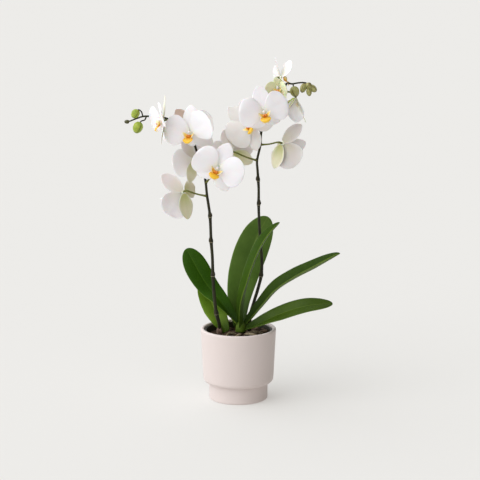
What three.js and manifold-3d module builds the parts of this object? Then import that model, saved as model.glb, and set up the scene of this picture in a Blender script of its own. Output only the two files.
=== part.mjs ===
// A moth orchid with two flower spikes, in a grower's pot that stands in a pale ceramic pot.
// Millimetres, +Z up, +X to the right of the front view, which looks along +Y.
// The origin is the centre of the ceramic pot's flat underside.
import * as THREE from 'three';
import { mergeVertices } from 'three/addons/utils/BufferGeometryUtils.js';
import Module from 'manifold-3d';

const wasm = await Module();
wasm.setup();

// ---------------------------------------------------------------- driving dimensions

const GAP = 0.35; // clear space between two pieces that touch

// ceramic pot
const POT_RADIUS = 67.5;
const POT_HEIGHT = 129;
const POT_WALL = 6;
const POT_FLOOR = 7;
const SHOULDER_RADIUS = 63.5;
const SHOULDER_HEIGHT = 42;
const FOOT_RADIUS = 52.7;
const FOOT_HEIGHT = 29;
const POT_SEGMENTS = 26;

// grower's pot inside it
const LINER_TOP_RADIUS = 59.5;
const LINER_FOOT_RADIUS = 42;
const LINER_WALL = 1.6;
const LINER_RIM_WIDTH = 1.5;
const LINER_RIM_HEIGHT = 6;
const LINER_TOP = POT_HEIGHT - 3.5;
const LINER_BOTTOM = POT_FLOOR + GAP;
const LINER_SEGMENTS = 20;
const DRAIN_HOLES = 4;
const DRAIN_HOLE_RADIUS = 4;
const DRAIN_CIRCLE_RADIUS = 26;

// bark
const BARK_LEVEL = 112;
const BARK_RISE = 3; // the bed is this much higher at the right wall than in the middle
const BARK_CHIPS = 14;
const CHIP_SPREAD = 52; // how far from the middle the outermost chip lies
const BARK_CLEARANCE = 0.8; // between the bark and the grower's pot

// plant
const STEM_FOOT = 101; // how far down the spikes reach into the bark
const LEAF_THICKNESS = 2.4;
const LEAF_ROWS = 8;
const LEAF_COLUMNS = 6;
const ROOT_RADIUS = 2.4;
const SPIKE_BASE_RADIUS = 3.2;
const SPIKE_TOP_RADIUS = 1.7;
const SPIKE_TIP_RADIUS = 1.2;
const PEDICEL_RADIUS = 1.3;

// bloom
const TEPAL_THICKNESS = 1.1;
const TEPAL_START = 3; // distance from the bloom's axis at which a tepal begins
const PETAL = {
  length: 46, width: 57, widest: 0.52, base: 0.16, baseCurve: 1.6, tipCurve: 2.2, point: 0.5,
  rows: 5, columns: 2, lift: 0.9, curl: 12,
};
const SEPAL = {
  length: 47, width: 33, widest: 0.48, base: 0.28, baseCurve: 1.5, tipCurve: 1.7, point: 0.66,
  rows: 3, columns: 2, lift: -2, curl: 10,
};
const HUB_RADIUS = 5.6;
const HUB_FRONT = 2.2;
const HUB_BACK = 3.2;
const COLUMN_LENGTH = 9;
const LIP_THICKNESS = 1.1;
const LIP_SCALE = 1.3;

// ---------------------------------------------------------------- small helpers

const vec = (x, y, z) => new THREE.Vector3(x, y, z);
const rad = THREE.MathUtils.degToRad;
const lerp = THREE.MathUtils.lerp;
const clamp01 = (x) => THREE.MathUtils.clamp(x, 0, 1);
function curveThrough(points) {
  return new THREE.CatmullRomCurve3(points.map((p) => vec(...p)), false, 'centripetal');
}

// A seeded source of random numbers, so that every run places the chips alike.
function randomFrom(seed) {
  let state = seed;
  return () => {
    state = (state * 1664525 + 1013904223) % 4294967296;
    return state / 4294967296;
  };
}

// A closed geometry with only positions, its shared vertices merged, as a solid.
function solidOf(geometry) {
  const bare = new THREE.BufferGeometry();
  bare.setAttribute('position', geometry.getAttribute('position'));
  if (geometry.index) bare.setIndex(geometry.index);
  const merged = mergeVertices(bare, 1e-4);
  const corners = [];
  for (let i = 0; i < merged.index.count; i += 3) {
    const [a, b, c] = [0, 1, 2].map((k) => merged.index.getX(i + k));
    if (a !== b && b !== c && c !== a) corners.push(a, b, c);
  }
  return new wasm.Manifold(new wasm.Mesh({
    numProp: 3,
    vertProperties: Float32Array.from(merged.getAttribute('position').array),
    triVerts: Uint32Array.from(corners),
  }));
}

const join = (solids) => solids.reduce((sum, next) => sum.add(next));
const cut = (solid, tools) => tools.reduce((rest, tool) => rest.subtract(tool), solid);

// The largest body of a solid, without scraps that a cut left loose.
function onePiece(solid) {
  return solid.decompose().sort((a, b) => b.volume() - a.volume())[0];
}

function meshOf(name, solid, { colour, roughness }) {
  const { vertProperties, triVerts } = solid.getMesh();
  const geometry = new THREE.BufferGeometry();
  geometry.setAttribute('position', new THREE.BufferAttribute(Float32Array.from(vertProperties), 3));
  geometry.setIndex(new THREE.BufferAttribute(Uint32Array.from(triVerts), 1));
  const material = new THREE.MeshStandardMaterial({ color: colour, roughness, metalness: 0 });
  const mesh = new THREE.Mesh(geometry, material);
  mesh.name = name;
  return mesh;
}

// A solid of revolution about an upright axis from [radius, height] points.
function turned(profile, segments, [x, y] = [0, 0]) {
  const lathe = new THREE.LatheGeometry(profile.map(([r, z]) => new THREE.Vector2(r, z)), segments);
  return solidOf(lathe.rotateX(Math.PI / 2).translate(x, y, 0));
}

function ellipsoid(centre, radii, axis, segments, rings) {
  const ball = new THREE.SphereGeometry(1, segments, rings);
  ball.rotateX(Math.PI / 2);
  ball.scale(...radii);
  ball.applyQuaternion(new THREE.Quaternion().setFromUnitVectors(vec(0, 0, 1), axis.clone().normalize()));
  return solidOf(ball.translate(centre.x, centre.y, centre.z));
}

// A cylinder bent along a curve, with its radius given by a function of the way along.
function tube(curve, steps, sides, radiusAt) {
  const geometry = new THREE.CylinderGeometry(1, 1, 1, sides, steps);
  const frames = curve.computeFrenetFrames(steps, false);
  const points = curve.getSpacedPoints(steps);
  const position = geometry.getAttribute('position');
  for (let i = 0; i < position.count; i++) {
    const ring = Math.round((position.getY(i) + 0.5) * steps);
    const radius = radiusAt(ring / steps);
    const p = points[ring].clone()
      .addScaledVector(frames.normals[ring], position.getZ(i) * radius)
      .addScaledVector(frames.binormals[ring], position.getX(i) * radius);
    position.setXYZ(i, p.x, p.y, p.z);
  }
  return solidOf(geometry);
}

// A closed blade. place(t, s) gives a point of its middle surface, the direction its upper face
// looks to and half its thickness there; t runs along it from 0 to 1, s across it from -1 to 1.
function blade(rows, columns, rowAt, place) {
  const positions = [];
  const index = [];
  for (const side of [1, -1]) {
    for (let i = 0; i <= rows; i++) {
      for (let j = 0; j <= columns; j++) {
        const { point, face, half } = place(rowAt(i / rows), (2 * j) / columns - 1);
        const p = point.clone().addScaledVector(face, side * half);
        positions.push(p.x, p.y, p.z);
      }
    }
  }
  const under = (rows + 1) * (columns + 1);
  const at = (i, j) => i * (columns + 1) + j;
  const quad = (a, b, c, d) => index.push(a, b, c, a, c, d);
  for (let i = 0; i < rows; i++) {
    for (let j = 0; j < columns; j++) {
      const [a, b, c, d] = [at(i, j), at(i + 1, j), at(i + 1, j + 1), at(i, j + 1)];
      index.push(a, b, c, a, c, d);
      index.push(under + a, under + c, under + b, under + a, under + d, under + c);
    }
    const [l0, l1, r0, r1] = [at(i, 0), at(i + 1, 0), at(i, columns), at(i + 1, columns)];
    quad(l0, under + l0, under + l1, l1);
    quad(r1, under + r1, under + r0, r0);
  }
  for (let j = 0; j < columns; j++) {
    const [a0, a1, b0, b1] = [at(0, j), at(0, j + 1), at(rows, j), at(rows, j + 1)];
    quad(a1, under + a1, under + a0, a0);
    quad(b0, under + b0, under + b1, b1);
  }
  const geometry = new THREE.BufferGeometry();
  geometry.setAttribute('position', new THREE.Float32BufferAttribute(positions, 3));
  geometry.setIndex(index);
  return geometry;
}

// Half-width of a blade along its length, as a share of its widest: narrow at the base, full at
// `widest` and closed at the tip, which is round at a point of 0.5 and sharper above it.
function bladeWidth(t, { widest, base, baseCurve, tipCurve, point }) {
  if (t < widest) {
    const rise = 1 - ((widest - t) / widest) ** baseCurve;
    return base + (1 - base) * rise ** 0.8;
  }
  return (1 - ((t - widest) / (1 - widest)) ** tipCurve) ** point;
}

// Rows lie closer together towards a blade's tip, and the last one keeps a short edge.
const towardsTip = (last) => (u) => last * (1 - (1 - u) ** 1.35);

// ---------------------------------------------------------------- pots and bark

const potOuter = [
  [0, 0], [FOOT_RADIUS - 2.8, 0], [FOOT_RADIUS - 0.8, 0.9], [FOOT_RADIUS, 3.2],
  [FOOT_RADIUS, FOOT_HEIGHT - 1.5], [FOOT_RADIUS + 1, FOOT_HEIGHT],
  [SHOULDER_RADIUS - 5.5, FOOT_HEIGHT + 1.6], [SHOULDER_RADIUS - 2, FOOT_HEIGHT + 5],
  [SHOULDER_RADIUS, SHOULDER_HEIGHT],
  [POT_RADIUS - 0.3, POT_HEIGHT - 4], [POT_RADIUS, POT_HEIGHT - 2.2], [POT_RADIUS - 1, POT_HEIGHT - 0.6],
  [POT_RADIUS - 3, POT_HEIGHT], [POT_RADIUS - 5, POT_HEIGHT - 0.6],
];
const potInner = [
  [POT_RADIUS - POT_WALL, POT_HEIGHT - 2.5], [SHOULDER_RADIUS - POT_WALL, SHOULDER_HEIGHT + 4],
  [FOOT_RADIUS - POT_WALL, FOOT_HEIGHT + 4], [FOOT_RADIUS - POT_WALL, POT_FLOOR + 2],
  [FOOT_RADIUS - POT_WALL - 2, POT_FLOOR], [0, POT_FLOOR],
];
const pot = turned([...potOuter, ...potInner], POT_SEGMENTS);

const linerRadius = (z) => lerp(
  LINER_FOOT_RADIUS, LINER_TOP_RADIUS, (z - LINER_BOTTOM) / (LINER_TOP - LINER_BOTTOM),
);
const linerInside = (z) => linerRadius(z) - LINER_WALL;
const linerFloor = LINER_BOTTOM + LINER_WALL;
const linerRimFoot = LINER_TOP - LINER_RIM_HEIGHT;
const linerBody = turned([
  [0, LINER_BOTTOM], [LINER_FOOT_RADIUS, LINER_BOTTOM], [linerRadius(linerRimFoot), linerRimFoot],
  [linerRadius(linerRimFoot) + LINER_RIM_WIDTH, linerRimFoot + 1],
  [LINER_TOP_RADIUS + LINER_RIM_WIDTH, LINER_TOP - 1], [LINER_TOP_RADIUS + LINER_RIM_WIDTH - 1, LINER_TOP],
  [linerInside(LINER_TOP) + 0.3, LINER_TOP],
  [linerInside(LINER_TOP), LINER_TOP - 1], [linerInside(linerFloor), linerFloor], [0, linerFloor],
], LINER_SEGMENTS);
const drainHoles = Array.from({ length: DRAIN_HOLES }, (_, i) => {
  const hole = new THREE.CylinderGeometry(DRAIN_HOLE_RADIUS, DRAIN_HOLE_RADIUS, 3 * LINER_WALL, 6);
  hole.rotateX(Math.PI / 2).translate(DRAIN_CIRCLE_RADIUS, 0, LINER_BOTTOM + LINER_WALL / 2);
  return solidOf(hole.rotateZ((2 * Math.PI * i) / DRAIN_HOLES));
});
const nurseryPot = cut(linerBody, drainHoles);

// The bed of bark: a plain filling with loose chips sunk in its top.
function barkBed() {
  const wall = (z) => linerInside(z) - BARK_CLEARANCE;
  const filling = turned([
    [0, linerFloor + GAP], [wall(linerFloor), linerFloor + GAP],
    [wall(BARK_LEVEL), BARK_LEVEL - 2], [0, BARK_LEVEL],
  ], LINER_SEGMENTS);
  const random = randomFrom(7);
  const between = (low, high) => lerp(low, high, random());
  const chips = Array.from({ length: BARK_CHIPS }, (_, i) => {
    const chip = new THREE.BoxGeometry(between(15, 27), between(11, 17), between(6, 10));
    chip.rotateX(rad(between(-22, 22))).rotateY(rad(between(-22, 22))).rotateZ(rad(between(0, 180)));
    const reach = Math.sqrt((i + 0.5) / BARK_CHIPS) * CHIP_SPREAD;
    const angle = i * 2.39996 + between(-0.3, 0.3); // the golden angle spreads them evenly
    const x = reach * Math.cos(angle);
    const z = BARK_LEVEL + (BARK_RISE * x) / LINER_TOP_RADIUS + between(-1.5, 2);
    return solidOf(chip.translate(x, reach * Math.sin(angle), z));
  });
  const inside = turned([
    [0, linerFloor], [wall(linerFloor) + 0.2, linerFloor], [wall(LINER_TOP) + 0.2, LINER_TOP], [0, LINER_TOP],
  ], LINER_SEGMENTS);
  return join([filling, ...chips]).intersect(inside);
}

// ---------------------------------------------------------------- leaves and crown

// spine: points along the midrib. width: widest. face: the way the upper side looks, at the base
// and at the tip. fold: degrees that each half rises from flat, at the base and past its middle.
const LEAVES = {
  leaf_middle_front: {
    spine: [[7, 0, 128], [10, -12, 184], [25, -22, 244], [48, -25, 295], [73, -18, 324]],
    width: 42, face: [[-1, -0.3, 0.35], [-1, -0.3, 0.35]], fold: [60, 30], widest: 0.5,
  },
  leaf_middle_back: {
    spine: [[0, 9, 126], [0, 34, 175], [13, 52, 230], [34, 57, 285], [53, 50, 323]],
    width: 62, face: [[0.2, -1, 0.3], [0.2, -1, 0.3]], fold: [42, 7], widest: 0.64,
  },
  leaf_right_upper: {
    spine: [[14, -2, 134], [43, -10, 171], [70, -16, 203], [102, -16, 224], [134, -13, 240], [181, -6, 266]],
    width: 41, face: [[-0.5, -0.54, 0.67], [-0.6, -0.25, 0.75]], fold: [57, 46], widest: 0.45,
  },
  leaf_left_upper: {
    spine: [[-2, 3, 131], [-13, 8, 145], [-25, 12, 162], [-40, 20, 182], [-59, 30, 204], [-94, 40, 266]],
    width: 46, face: [[0.68, -0.42, 0.6], [0.05, -1, 0.3]], fold: [58, 6], widest: 0.68,
  },
  leaf_right_lower: {
    spine: [[14, -6, 127], [33, -20, 139], [58, -28, 153], [83, -34, 165], [121, -40, 178], [167, -34, 181]],
    width: 36, face: [[-0.3, -0.6, 0.8], [-0.1, -0.6, 0.8]], fold: [50, 14], widest: 0.5,
  },
  leaf_left_lower: {
    spine: [[-23, 19, 115], [-38, 29, 143], [-48, 37, 164], [-58, 43, 181], [-71, 46, 197]],
    width: 42, face: [[0.3, -1, 0.3], [0.2, -1, 0.4]], fold: [38, 12], widest: 0.5,
  },
};

function leafSolid({ spine, width, face, fold, widest }, margin = 0) {
  const curve = curveThrough(spine);
  const shape = { widest, base: 0.4, baseCurve: 1.4, tipCurve: 2.3, point: 0.5 };
  const [faceAtBase, faceAtTip] = face.map((way) => vec(...way));
  const place = (t, s) => {
    const along = curve.getTangentAt(t);
    const normal = faceAtBase.clone().lerp(faceAtTip, t);
    normal.addScaledVector(along, -normal.dot(along)).normalize();
    const across = new THREE.Vector3().crossVectors(normal, along);
    const half = (width / 2) * bladeWidth(t, shape) + margin;
    const rise = rad(lerp(fold[0], fold[1], clamp01(t / 0.45)));
    const point = curve.getPointAt(t)
      .addScaledVector(across, s * half * Math.cos(rise))
      .addScaledVector(normal, Math.abs(s) * half * Math.sin(rise));
    return { point, face: normal, half: (LEAF_THICKNESS / 2) * (1.25 - 0.5 * Math.abs(s)) + 1.6 * margin };
  };
  return solidOf(blade(LEAF_ROWS, LEAF_COLUMNS, towardsTip(0.985), place));
}

// The short stump that the leaves sheathe.
const CROWN = { x: 4, y: 1, foot: 120.4, top: 141 };
function crownSolid(margin = 0) {
  return turned([
    [0, CROWN.foot - margin], [9.5 + margin, CROWN.foot - margin], [8.5 + margin, 132],
    [4 + margin, CROWN.top + margin], [0, CROWN.top + margin],
  ], 8, [CROWN.x, CROWN.y]);
}

// Aerial roots: each leaves the rootstock at the crown's foot, runs over the bark and goes into it.
const ROOTSTOCK = [CROWN.x, CROWN.y, 112];
const ROOTS = [
  [[18, -16, 121], [34, -30, 120], [43, -28, 103]],
  [[24, -6, 122], [42, -7, 120], [49, 3, 103]],
  [[3, -20, 121], [-6, -36, 119], [-15, -41, 103]],
  [[-14, -6, 120], [-22, -24, 118], [-28, -34, 103]],
  [[8, 18, 120], [10, 36, 118], [4, 46, 103]],
];
function rootSolid(margin = 0) {
  const radii = [9 + margin, 9 + margin, 6.4 + margin];
  const stock = ellipsoid(vec(...ROOTSTOCK), radii, vec(0, 0, 1), 7, 4);
  const arm = (points) => tube(curveThrough([ROOTSTOCK, ...points]), 6, 5, () => ROOT_RADIUS + margin);
  return join([stock, ...ROOTS.map(arm)]);
}

// ---------------------------------------------------------------- flower spikes

// stem: the arching stem of each spike, from the bark to where its cluster of buds begins.
// joints: the heights up it where it has a ringed joint. sheath: that of a dry husk round its foot.
// tip: the rest of the stem, among the buds. stalk: the way to a bud that hangs by a longer stalk.
const SPIKES = {
  left: {
    stem: [
      [-35, -12, STEM_FOOT], [-34, -14, 137], [-39, -18, 159], [-43, -20, 195], [-45, -20, 228],
      [-46, -18, 263], [-48, -16, 289], [-50, -13, 334], [-55, -10, 370], [-59, -8, 403], [-72, -5, 445],
      [-82, -2, 471], [-99, 4, 488], [-119, 12, 501], [-140, 12, 507], [-156, 7, 508],
    ],
    joints: [159, 228, 289, 334],
    sheath: 124,
    tip: [[-167, 3, 508], [-177, 1, 505], [-190, 0, 500]],
    buds: [
      { at: [-195, 0, 499], length: 9, width: 7, points: [-1, 0, 0] },
      {
        at: [-180, 0, 513], length: 17, width: 15, points: [-0.5, 0, -0.8],
        stalk: [[-167, 3, 508], [-170, 2, 517], [-175, 1, 520]],
      },
      {
        at: [-176, -1, 489], length: 21, width: 18, points: [-0.4, 0, -0.9],
        stalk: [[-161, 5, 508], [-164, 2, 502], [-170, 0, 500]],
      },
    ],
  },
  right: {
    stem: [
      [20, 11, STEM_FOOT], [21, 12, 146], [28, 14, 173], [35, 16, 196], [41, 16, 222], [42, 15, 248],
      [39, 12, 288], [37, 10, 319], [36, 10, 353], [36, 10, 379], [34, 10, 412], [33, 10, 428],
      [39, 10, 458], [41, 10, 484], [49, 10, 499], [63, 10, 524], [73, 8, 549], [83, 5, 563],
    ],
    joints: [222, 353, 395, 484],
    tip: [[93, 2, 565], [106, 0, 567], [116, 0, 567], [125, 0, 563]],
    buds: [
      { at: [98, -5, 552], length: 19, width: 17, points: [0.35, -0.2, -0.9] },
      { at: [113, -3, 558], length: 17, width: 11.5, points: [-0.3, -0.2, -0.9] },
      { at: [122, -4, 562], length: 14, width: 12, points: [0.3, -0.6, 0.5] },
      { at: [130, 0, 557], length: 16, width: 12, points: [0.7, 0, -0.6] },
      { at: [123, -5, 551], length: 14, width: 10, points: [0.1, -0.2, -0.9] },
    ],
  },
};

// Each bloom: the height at which its stalk leaves the spike, its centre, its facing (degrees right
// of the viewer and above level), its roll anticlockwise as seen from in front, its size, and how
// many degrees its tepals lean forwards: top sepal, right and left petal, right and left side sepal.
// angles, in the same order, are given where the tepals aren't spread evenly, and breadth where
// they are narrower than usual.
const EVEN = [90, 14, 166, -48, -132];
const CUPPED = [16, 24, 24, 14, 14];
const BLOOMS = {
  left_1: {
    joint: 368, at: [-98, -6, 376], facing: [-140, -15], roll: -45, size: 1, lean: [18, 24, 104, 12, 32],
    angles: [90, -6, 128, -50, 216],
  },
  left_2: { joint: 428, at: [-79, 6, 433], facing: [-130, -8], roll: -24, size: 0.88, lean: CUPPED },
  left_3: {
    joint: 390, at: [-36, -45, 423], facing: [-8, -8], roll: -26, size: 0.98, lean: [2, 9, 22, -10, -22],
  },
  left_4: {
    joint: 458, at: [-82, -40, 484], facing: [-26, -6], roll: 0, size: 0.96, lean: [0, 9, 28, -36, -36],
    angles: [90, 32, 168, -48, -132],
  },
  left_5: {
    joint: 480, at: [-83, 36, 486], facing: [165, 5], roll: -40, size: 0.84, lean: [0, 9, 9, 28, 0],
    angles: [90, 14, 200, -48, -120],
  },
  left_6: {
    joint: 499, at: [-131, -33, 504], facing: [-82, -12], roll: 0, size: 0.88, lean: [-12, 6, 32, 25, 12],
    angles: [84, 30, 172, -66, -120], breadth: 0.9,
  },
  right_1: {
    joint: 457, at: [78, 0, 461], facing: [136, -15], roll: 38, size: 0.96, lean: [18, 116, 22, 46, 12],
    angles: [90, 14, 193, -72, -111],
  },
  right_2: {
    joint: 428, at: [-11, 24, 443], facing: [-160, -6], roll: -20, size: 0.85, lean: [8, 8, 8, 6, 6],
  },
  right_3: {
    joint: 480, at: [18, 2, 494], facing: [-24, -8], roll: 56, size: 0.98, lean: [4, 9, 9, 5, 6],
  },
  right_4: {
    joint: 530, at: [44, -48, 520], facing: [4, -5], roll: 12, size: 0.93, lean: [0, -4, 20, -32, -32],
  },
  right_5: {
    joint: 545, at: [69, -16, 559], facing: [-16, -12], roll: 0, size: 0.5, lean: [38, 50, 50, 36, 32],
    breadth: 0.85,
  },
  right_6: {
    joint: 561, at: [75, 33, 574], facing: [97, 4], roll: 0, size: 0.72, lean: [-6, -12, 38, 20, 20],
    angles: [90, 12, 120, -48, -132], breadth: 0.8,
  },
  right_7: {
    joint: 552, at: [99, 5, 538], facing: [-55, -72], roll: 0, size: 0.96, lean: [66, 70, 62, 60, 56],
    breadth: 0.64,
  },
};
const sideOf = (name) => name.split('_')[0];

// The bloom's own axes: X to its right, Y up through its top sepal, Z out of its face.
function bloomMatrix({ at, facing, roll }) {
  const [turn, tip] = facing.map(rad);
  const z = vec(Math.sin(turn) * Math.cos(tip), -Math.cos(turn) * Math.cos(tip), Math.sin(tip));
  const level = vec(0, 0, 1).addScaledVector(z, -z.z).normalize();
  const y = level.applyAxisAngle(z, rad(roll));
  const x = new THREE.Vector3().crossVectors(y, z);
  return new THREE.Matrix4().makeBasis(x, y, z).setPosition(...at);
}

// One petal or sepal in the bloom's own axes, at an angle anticlockwise from its right. It leans
// forwards by `lean` degrees at its root and bends back along its length, and its edges bend back
// from the middle line.
function tepal(kind, angle, lean, { size, breadth = 1 }, margin) {
  const out = vec(Math.cos(rad(angle)), Math.sin(rad(angle)), 0);
  const across = vec(-Math.sin(rad(angle)), Math.cos(rad(angle)), 0);
  const front = vec(0, 0, 1);
  const length = kind.length * size;
  const start = rad(lean);
  const turn = -rad(kind.curl);
  const place = (t, s) => {
    const slope = start + turn * t;
    const along = (length * (Math.sin(slope) - Math.sin(start))) / turn;
    const ahead = (length * (Math.cos(start) - Math.cos(slope))) / turn;
    const face = front.clone().multiplyScalar(Math.cos(slope)).addScaledVector(out, -Math.sin(slope));
    const half = ((kind.width * size * breadth) / 2) * bladeWidth(t, kind) + margin;
    const point = out.clone().multiplyScalar(TEPAL_START + along)
      .addScaledVector(front, ahead + kind.lift)
      .addScaledVector(across, s * half)
      .addScaledVector(face, -0.08 * s * s * half);
    return { point, face, half: TEPAL_THICKNESS / 2 + margin };
  };
  return solidOf(blade(kind.rows, kind.columns, towardsTip(0.975), place));
}

// The low five-sided middle of a bloom, from which its tepals grow.
function hub(margin) {
  const radius = HUB_RADIUS + margin;
  const middle = new THREE.CylinderGeometry(0.7 * radius, radius, HUB_FRONT + HUB_BACK + 2 * margin, 5);
  return solidOf(middle.rotateX(Math.PI / 2).translate(0, 0, (HUB_FRONT - HUB_BACK) / 2));
}

// A bloom without its lip, in its own axes: two petals, three sepals and the column.
function bloomSolid(bloom, margin = 0) {
  const { size, lean, angles = EVEN } = bloom;
  const kinds = [SEPAL, PETAL, PETAL, SEPAL, SEPAL];
  const girth = Math.sqrt(size);
  const column = curveThrough([[0, 1.6, -1], [0, 2.6, COLUMN_LENGTH * girth]]);
  return join([
    ...kinds.map((kind, i) => tepal(kind, angles[i], lean[i], bloom, margin)),
    hub(margin),
    tube(column, 1, 5, (t) => lerp(3, 2.3, t) * girth + margin),
  ]);
}

// The lip, under the column, in the bloom's own axes: a pointed middle lobe that hangs forwards,
// and two side lobes that stand up beside the column as the ends of one curved strip.
function lipSolid({ size }) {
  const half = LIP_THICKNESS / 2;
  const scale = LIP_SCALE * Math.sqrt(size);
  const middle = blade(2, 2, (t) => t, (t, s) => {
    const breadth = 2.2 + 5 * Math.sin(Math.PI * t ** 0.7);
    return {
      point: vec(s * breadth, -4.4 - 8.2 * t, 5 + 8.5 * Math.sin(2 * t) - 1.6 * s * s),
      face: vec(0, 0.55, 0.83),
      half: half + 0.4 * (1 - t),
    };
  });
  const strip = blade(4, 2, (t) => 2 * t - 1, (t, s) => {
    const breadth = s * (3.4 - 1.6 * t ** 4);
    const y = -5.2 + 6 * t * t + 0.75 * breadth;
    const z = 5.8 + 1.6 * t * t - 0.6 * breadth;
    return {
      point: vec((8.4 + 0.25 * breadth) * t, y, z),
      face: vec(-0.6 * t, 0.6, 0.7).normalize(),
      half,
    };
  });
  return join([middle, strip].map((lobe) => solidOf(lobe.scale(scale, scale, scale))));
}

const spikeRadius = (t) => lerp(SPIKE_BASE_RADIUS, SPIKE_TOP_RADIUS, t);

// The stalk of a bloom: out of the stem, round to the bloom's back, where it stops just clear of it.
function pedicel(bloom, root, margin) {
  const matrix = bloomMatrix(bloom);
  const onAxis = (z) => vec(0, 0, z).applyMatrix4(matrix);
  const end = onAxis(-HUB_BACK - GAP);
  const behind = onAxis(-HUB_BACK - 9 * bloom.size);
  const bow = root.clone().lerp(behind, 0.5).add(vec(0, 0, -1));
  const curve = new THREE.CatmullRomCurve3([root, bow, behind, end]);
  return tube(curve, 5, 4, (t) => PEDICEL_RADIUS * (1 + 0.8 * (1 - t) ** 6 + 0.2 * t) + margin);
}

function spikeSolid(side, margin = 0) {
  const { stem, joints, sheath } = SPIKES[side];
  const curve = curveThrough(stem);
  const samples = curve.getSpacedPoints(200);
  const parts = [tube(curve, 24, 5, (t) => spikeRadius(t) + margin)];
  const indexAt = (height) => samples.findIndex((p) => p.z > height);
  const ring = (height, extra, length) => {
    const i = indexAt(height);
    const r = spikeRadius(i / 200) + extra + margin;
    parts.push(ellipsoid(samples[i], [r, r, length + margin], curve.getTangentAt(i / 200), 5, 3));
  };
  for (const height of joints) ring(height, 0.9, 3.5);
  if (sheath) ring(sheath, 2.2, 8);
  for (const [name, bloom] of Object.entries(BLOOMS)) {
    if (sideOf(name) === side) parts.push(pedicel(bloom, samples[indexAt(bloom.joint)], margin));
  }
  return join(parts);
}

// The end of a spike: the last of the stem and the buds that hang from it on short stalks. It
// begins just clear of the stem's end, in line with it.
function budSolid(side) {
  const { stem, tip, buds } = SPIKES[side];
  const stemCurve = curveThrough(stem);
  const beyond = (d) => stemCurve.getPointAt(1).addScaledVector(stemCurve.getTangentAt(1), d).toArray();
  const curve = curveThrough([beyond(2 * GAP), beyond(4), ...tip]);
  const samples = curve.getSpacedPoints(40);
  const parts = [tube(curve, 5, 5, (t) => lerp(SPIKE_TOP_RADIUS, SPIKE_TIP_RADIUS, t))];
  for (const { at, length, width, points, stalk } of buds) {
    const centre = vec(...at);
    const axis = vec(...points).normalize();
    parts.push(ellipsoid(centre, [width / 2, width / 2, length / 2], axis, 6, 4));
    const end = centre.clone().addScaledVector(axis, -length * 0.3);
    const nearest = samples.reduce((a, b) => (b.distanceTo(end) < a.distanceTo(end) ? b : a));
    if (stalk) {
      parts.push(tube(curveThrough([...stalk, end.toArray()]), 4, 4, () => SPIKE_TIP_RADIUS));
    } else if (nearest.distanceTo(end) > 1) {
      parts.push(tube(new THREE.LineCurve3(nearest, end), 1, 4, () => SPIKE_TIP_RADIUS));
    }
  }
  return join(parts);
}

// ---------------------------------------------------------------- assembly

const FINISHES = {
  pot: { colour: 0xcbbfb6, roughness: 0.55 },
  liner: { colour: 0x2e3320, roughness: 0.4 },
  bark: { colour: 0x4a3226, roughness: 0.95 },
  root: { colour: 0x9aa182, roughness: 0.8 },
  crown: { colour: 0x5f8a3a, roughness: 0.5 },
  leaf: { colour: 0x35681f, roughness: 0.4 },
  spike: { colour: 0x3a3a1e, roughness: 0.5 },
  bud: { colour: 0x9fae5a, roughness: 0.5 },
  petal: { colour: 0xf4eff1, roughness: 0.6 },
  lip: { colour: 0xf0b21c, roughness: 0.5 },
};

// Inner leaves come first; every later leaf gives way to them where they sheathe each other.
const leaves = [];
for (const [name, leaf] of Object.entries(LEAVES)) {
  const body = onePiece(cut(leafSolid(leaf), [crownSolid(GAP), ...leaves.map((other) => other.room)]));
  leaves.push({ name, body, room: leafSolid(leaf, GAP) });
}
const bark = onePiece(cut(barkBed(), [
  crownSolid(GAP), rootSolid(GAP), spikeSolid('left', GAP), spikeSolid('right', GAP),
  ...leaves.map((leaf) => leaf.room),
]));

const orchid = new THREE.Group();
orchid.add(
  meshOf('pot', pot, FINISHES.pot),
  meshOf('nursery_pot', nurseryPot, FINISHES.liner),
  meshOf('bark', bark, FINISHES.bark),
  meshOf('roots', rootSolid(), FINISHES.root),
  meshOf('crown', crownSolid(), FINISHES.crown),
  ...leaves.map(({ name, body }) => meshOf(name, body, FINISHES.leaf)),
);
for (const side of ['left', 'right']) {
  orchid.add(meshOf(`spike_${side}`, spikeSolid(side), FINISHES.spike));
  orchid.add(meshOf(`buds_${side}`, budSolid(side), FINISHES.bud));
}
for (const [name, bloom] of Object.entries(BLOOMS)) {
  const lip = onePiece(cut(lipSolid(bloom), [bloomSolid(bloom, GAP)]));
  const flower = new THREE.Group();
  flower.applyMatrix4(bloomMatrix(bloom));
  flower.add(meshOf(`bloom_${name}`, bloomSolid(bloom), FINISHES.petal));
  flower.add(meshOf(`lip_${name}`, lip, FINISHES.lip));
  orchid.add(flower);
}

export default orchid;
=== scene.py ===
"""A moth orchid with two flower spikes, in a grower's pot that stands in a pale ceramic pot.

Lengths in the tables are millimetres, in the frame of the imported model; MM turns them into metres.
"""

import math
import random

import bpy
from mathutils import Matrix, Vector


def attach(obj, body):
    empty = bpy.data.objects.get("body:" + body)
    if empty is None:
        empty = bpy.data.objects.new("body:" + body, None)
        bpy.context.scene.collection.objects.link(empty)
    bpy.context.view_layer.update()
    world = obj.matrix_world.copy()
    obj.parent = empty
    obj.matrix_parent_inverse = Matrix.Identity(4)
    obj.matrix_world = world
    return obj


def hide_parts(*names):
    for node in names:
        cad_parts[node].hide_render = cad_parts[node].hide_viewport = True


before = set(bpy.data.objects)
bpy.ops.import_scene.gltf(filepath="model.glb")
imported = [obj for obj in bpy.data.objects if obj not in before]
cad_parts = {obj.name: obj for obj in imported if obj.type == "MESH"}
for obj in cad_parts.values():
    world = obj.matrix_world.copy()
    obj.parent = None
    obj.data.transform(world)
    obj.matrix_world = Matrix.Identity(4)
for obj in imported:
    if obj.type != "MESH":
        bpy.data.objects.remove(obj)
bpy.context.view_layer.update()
MM = 0.001


# --- camera, floor and light

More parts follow.
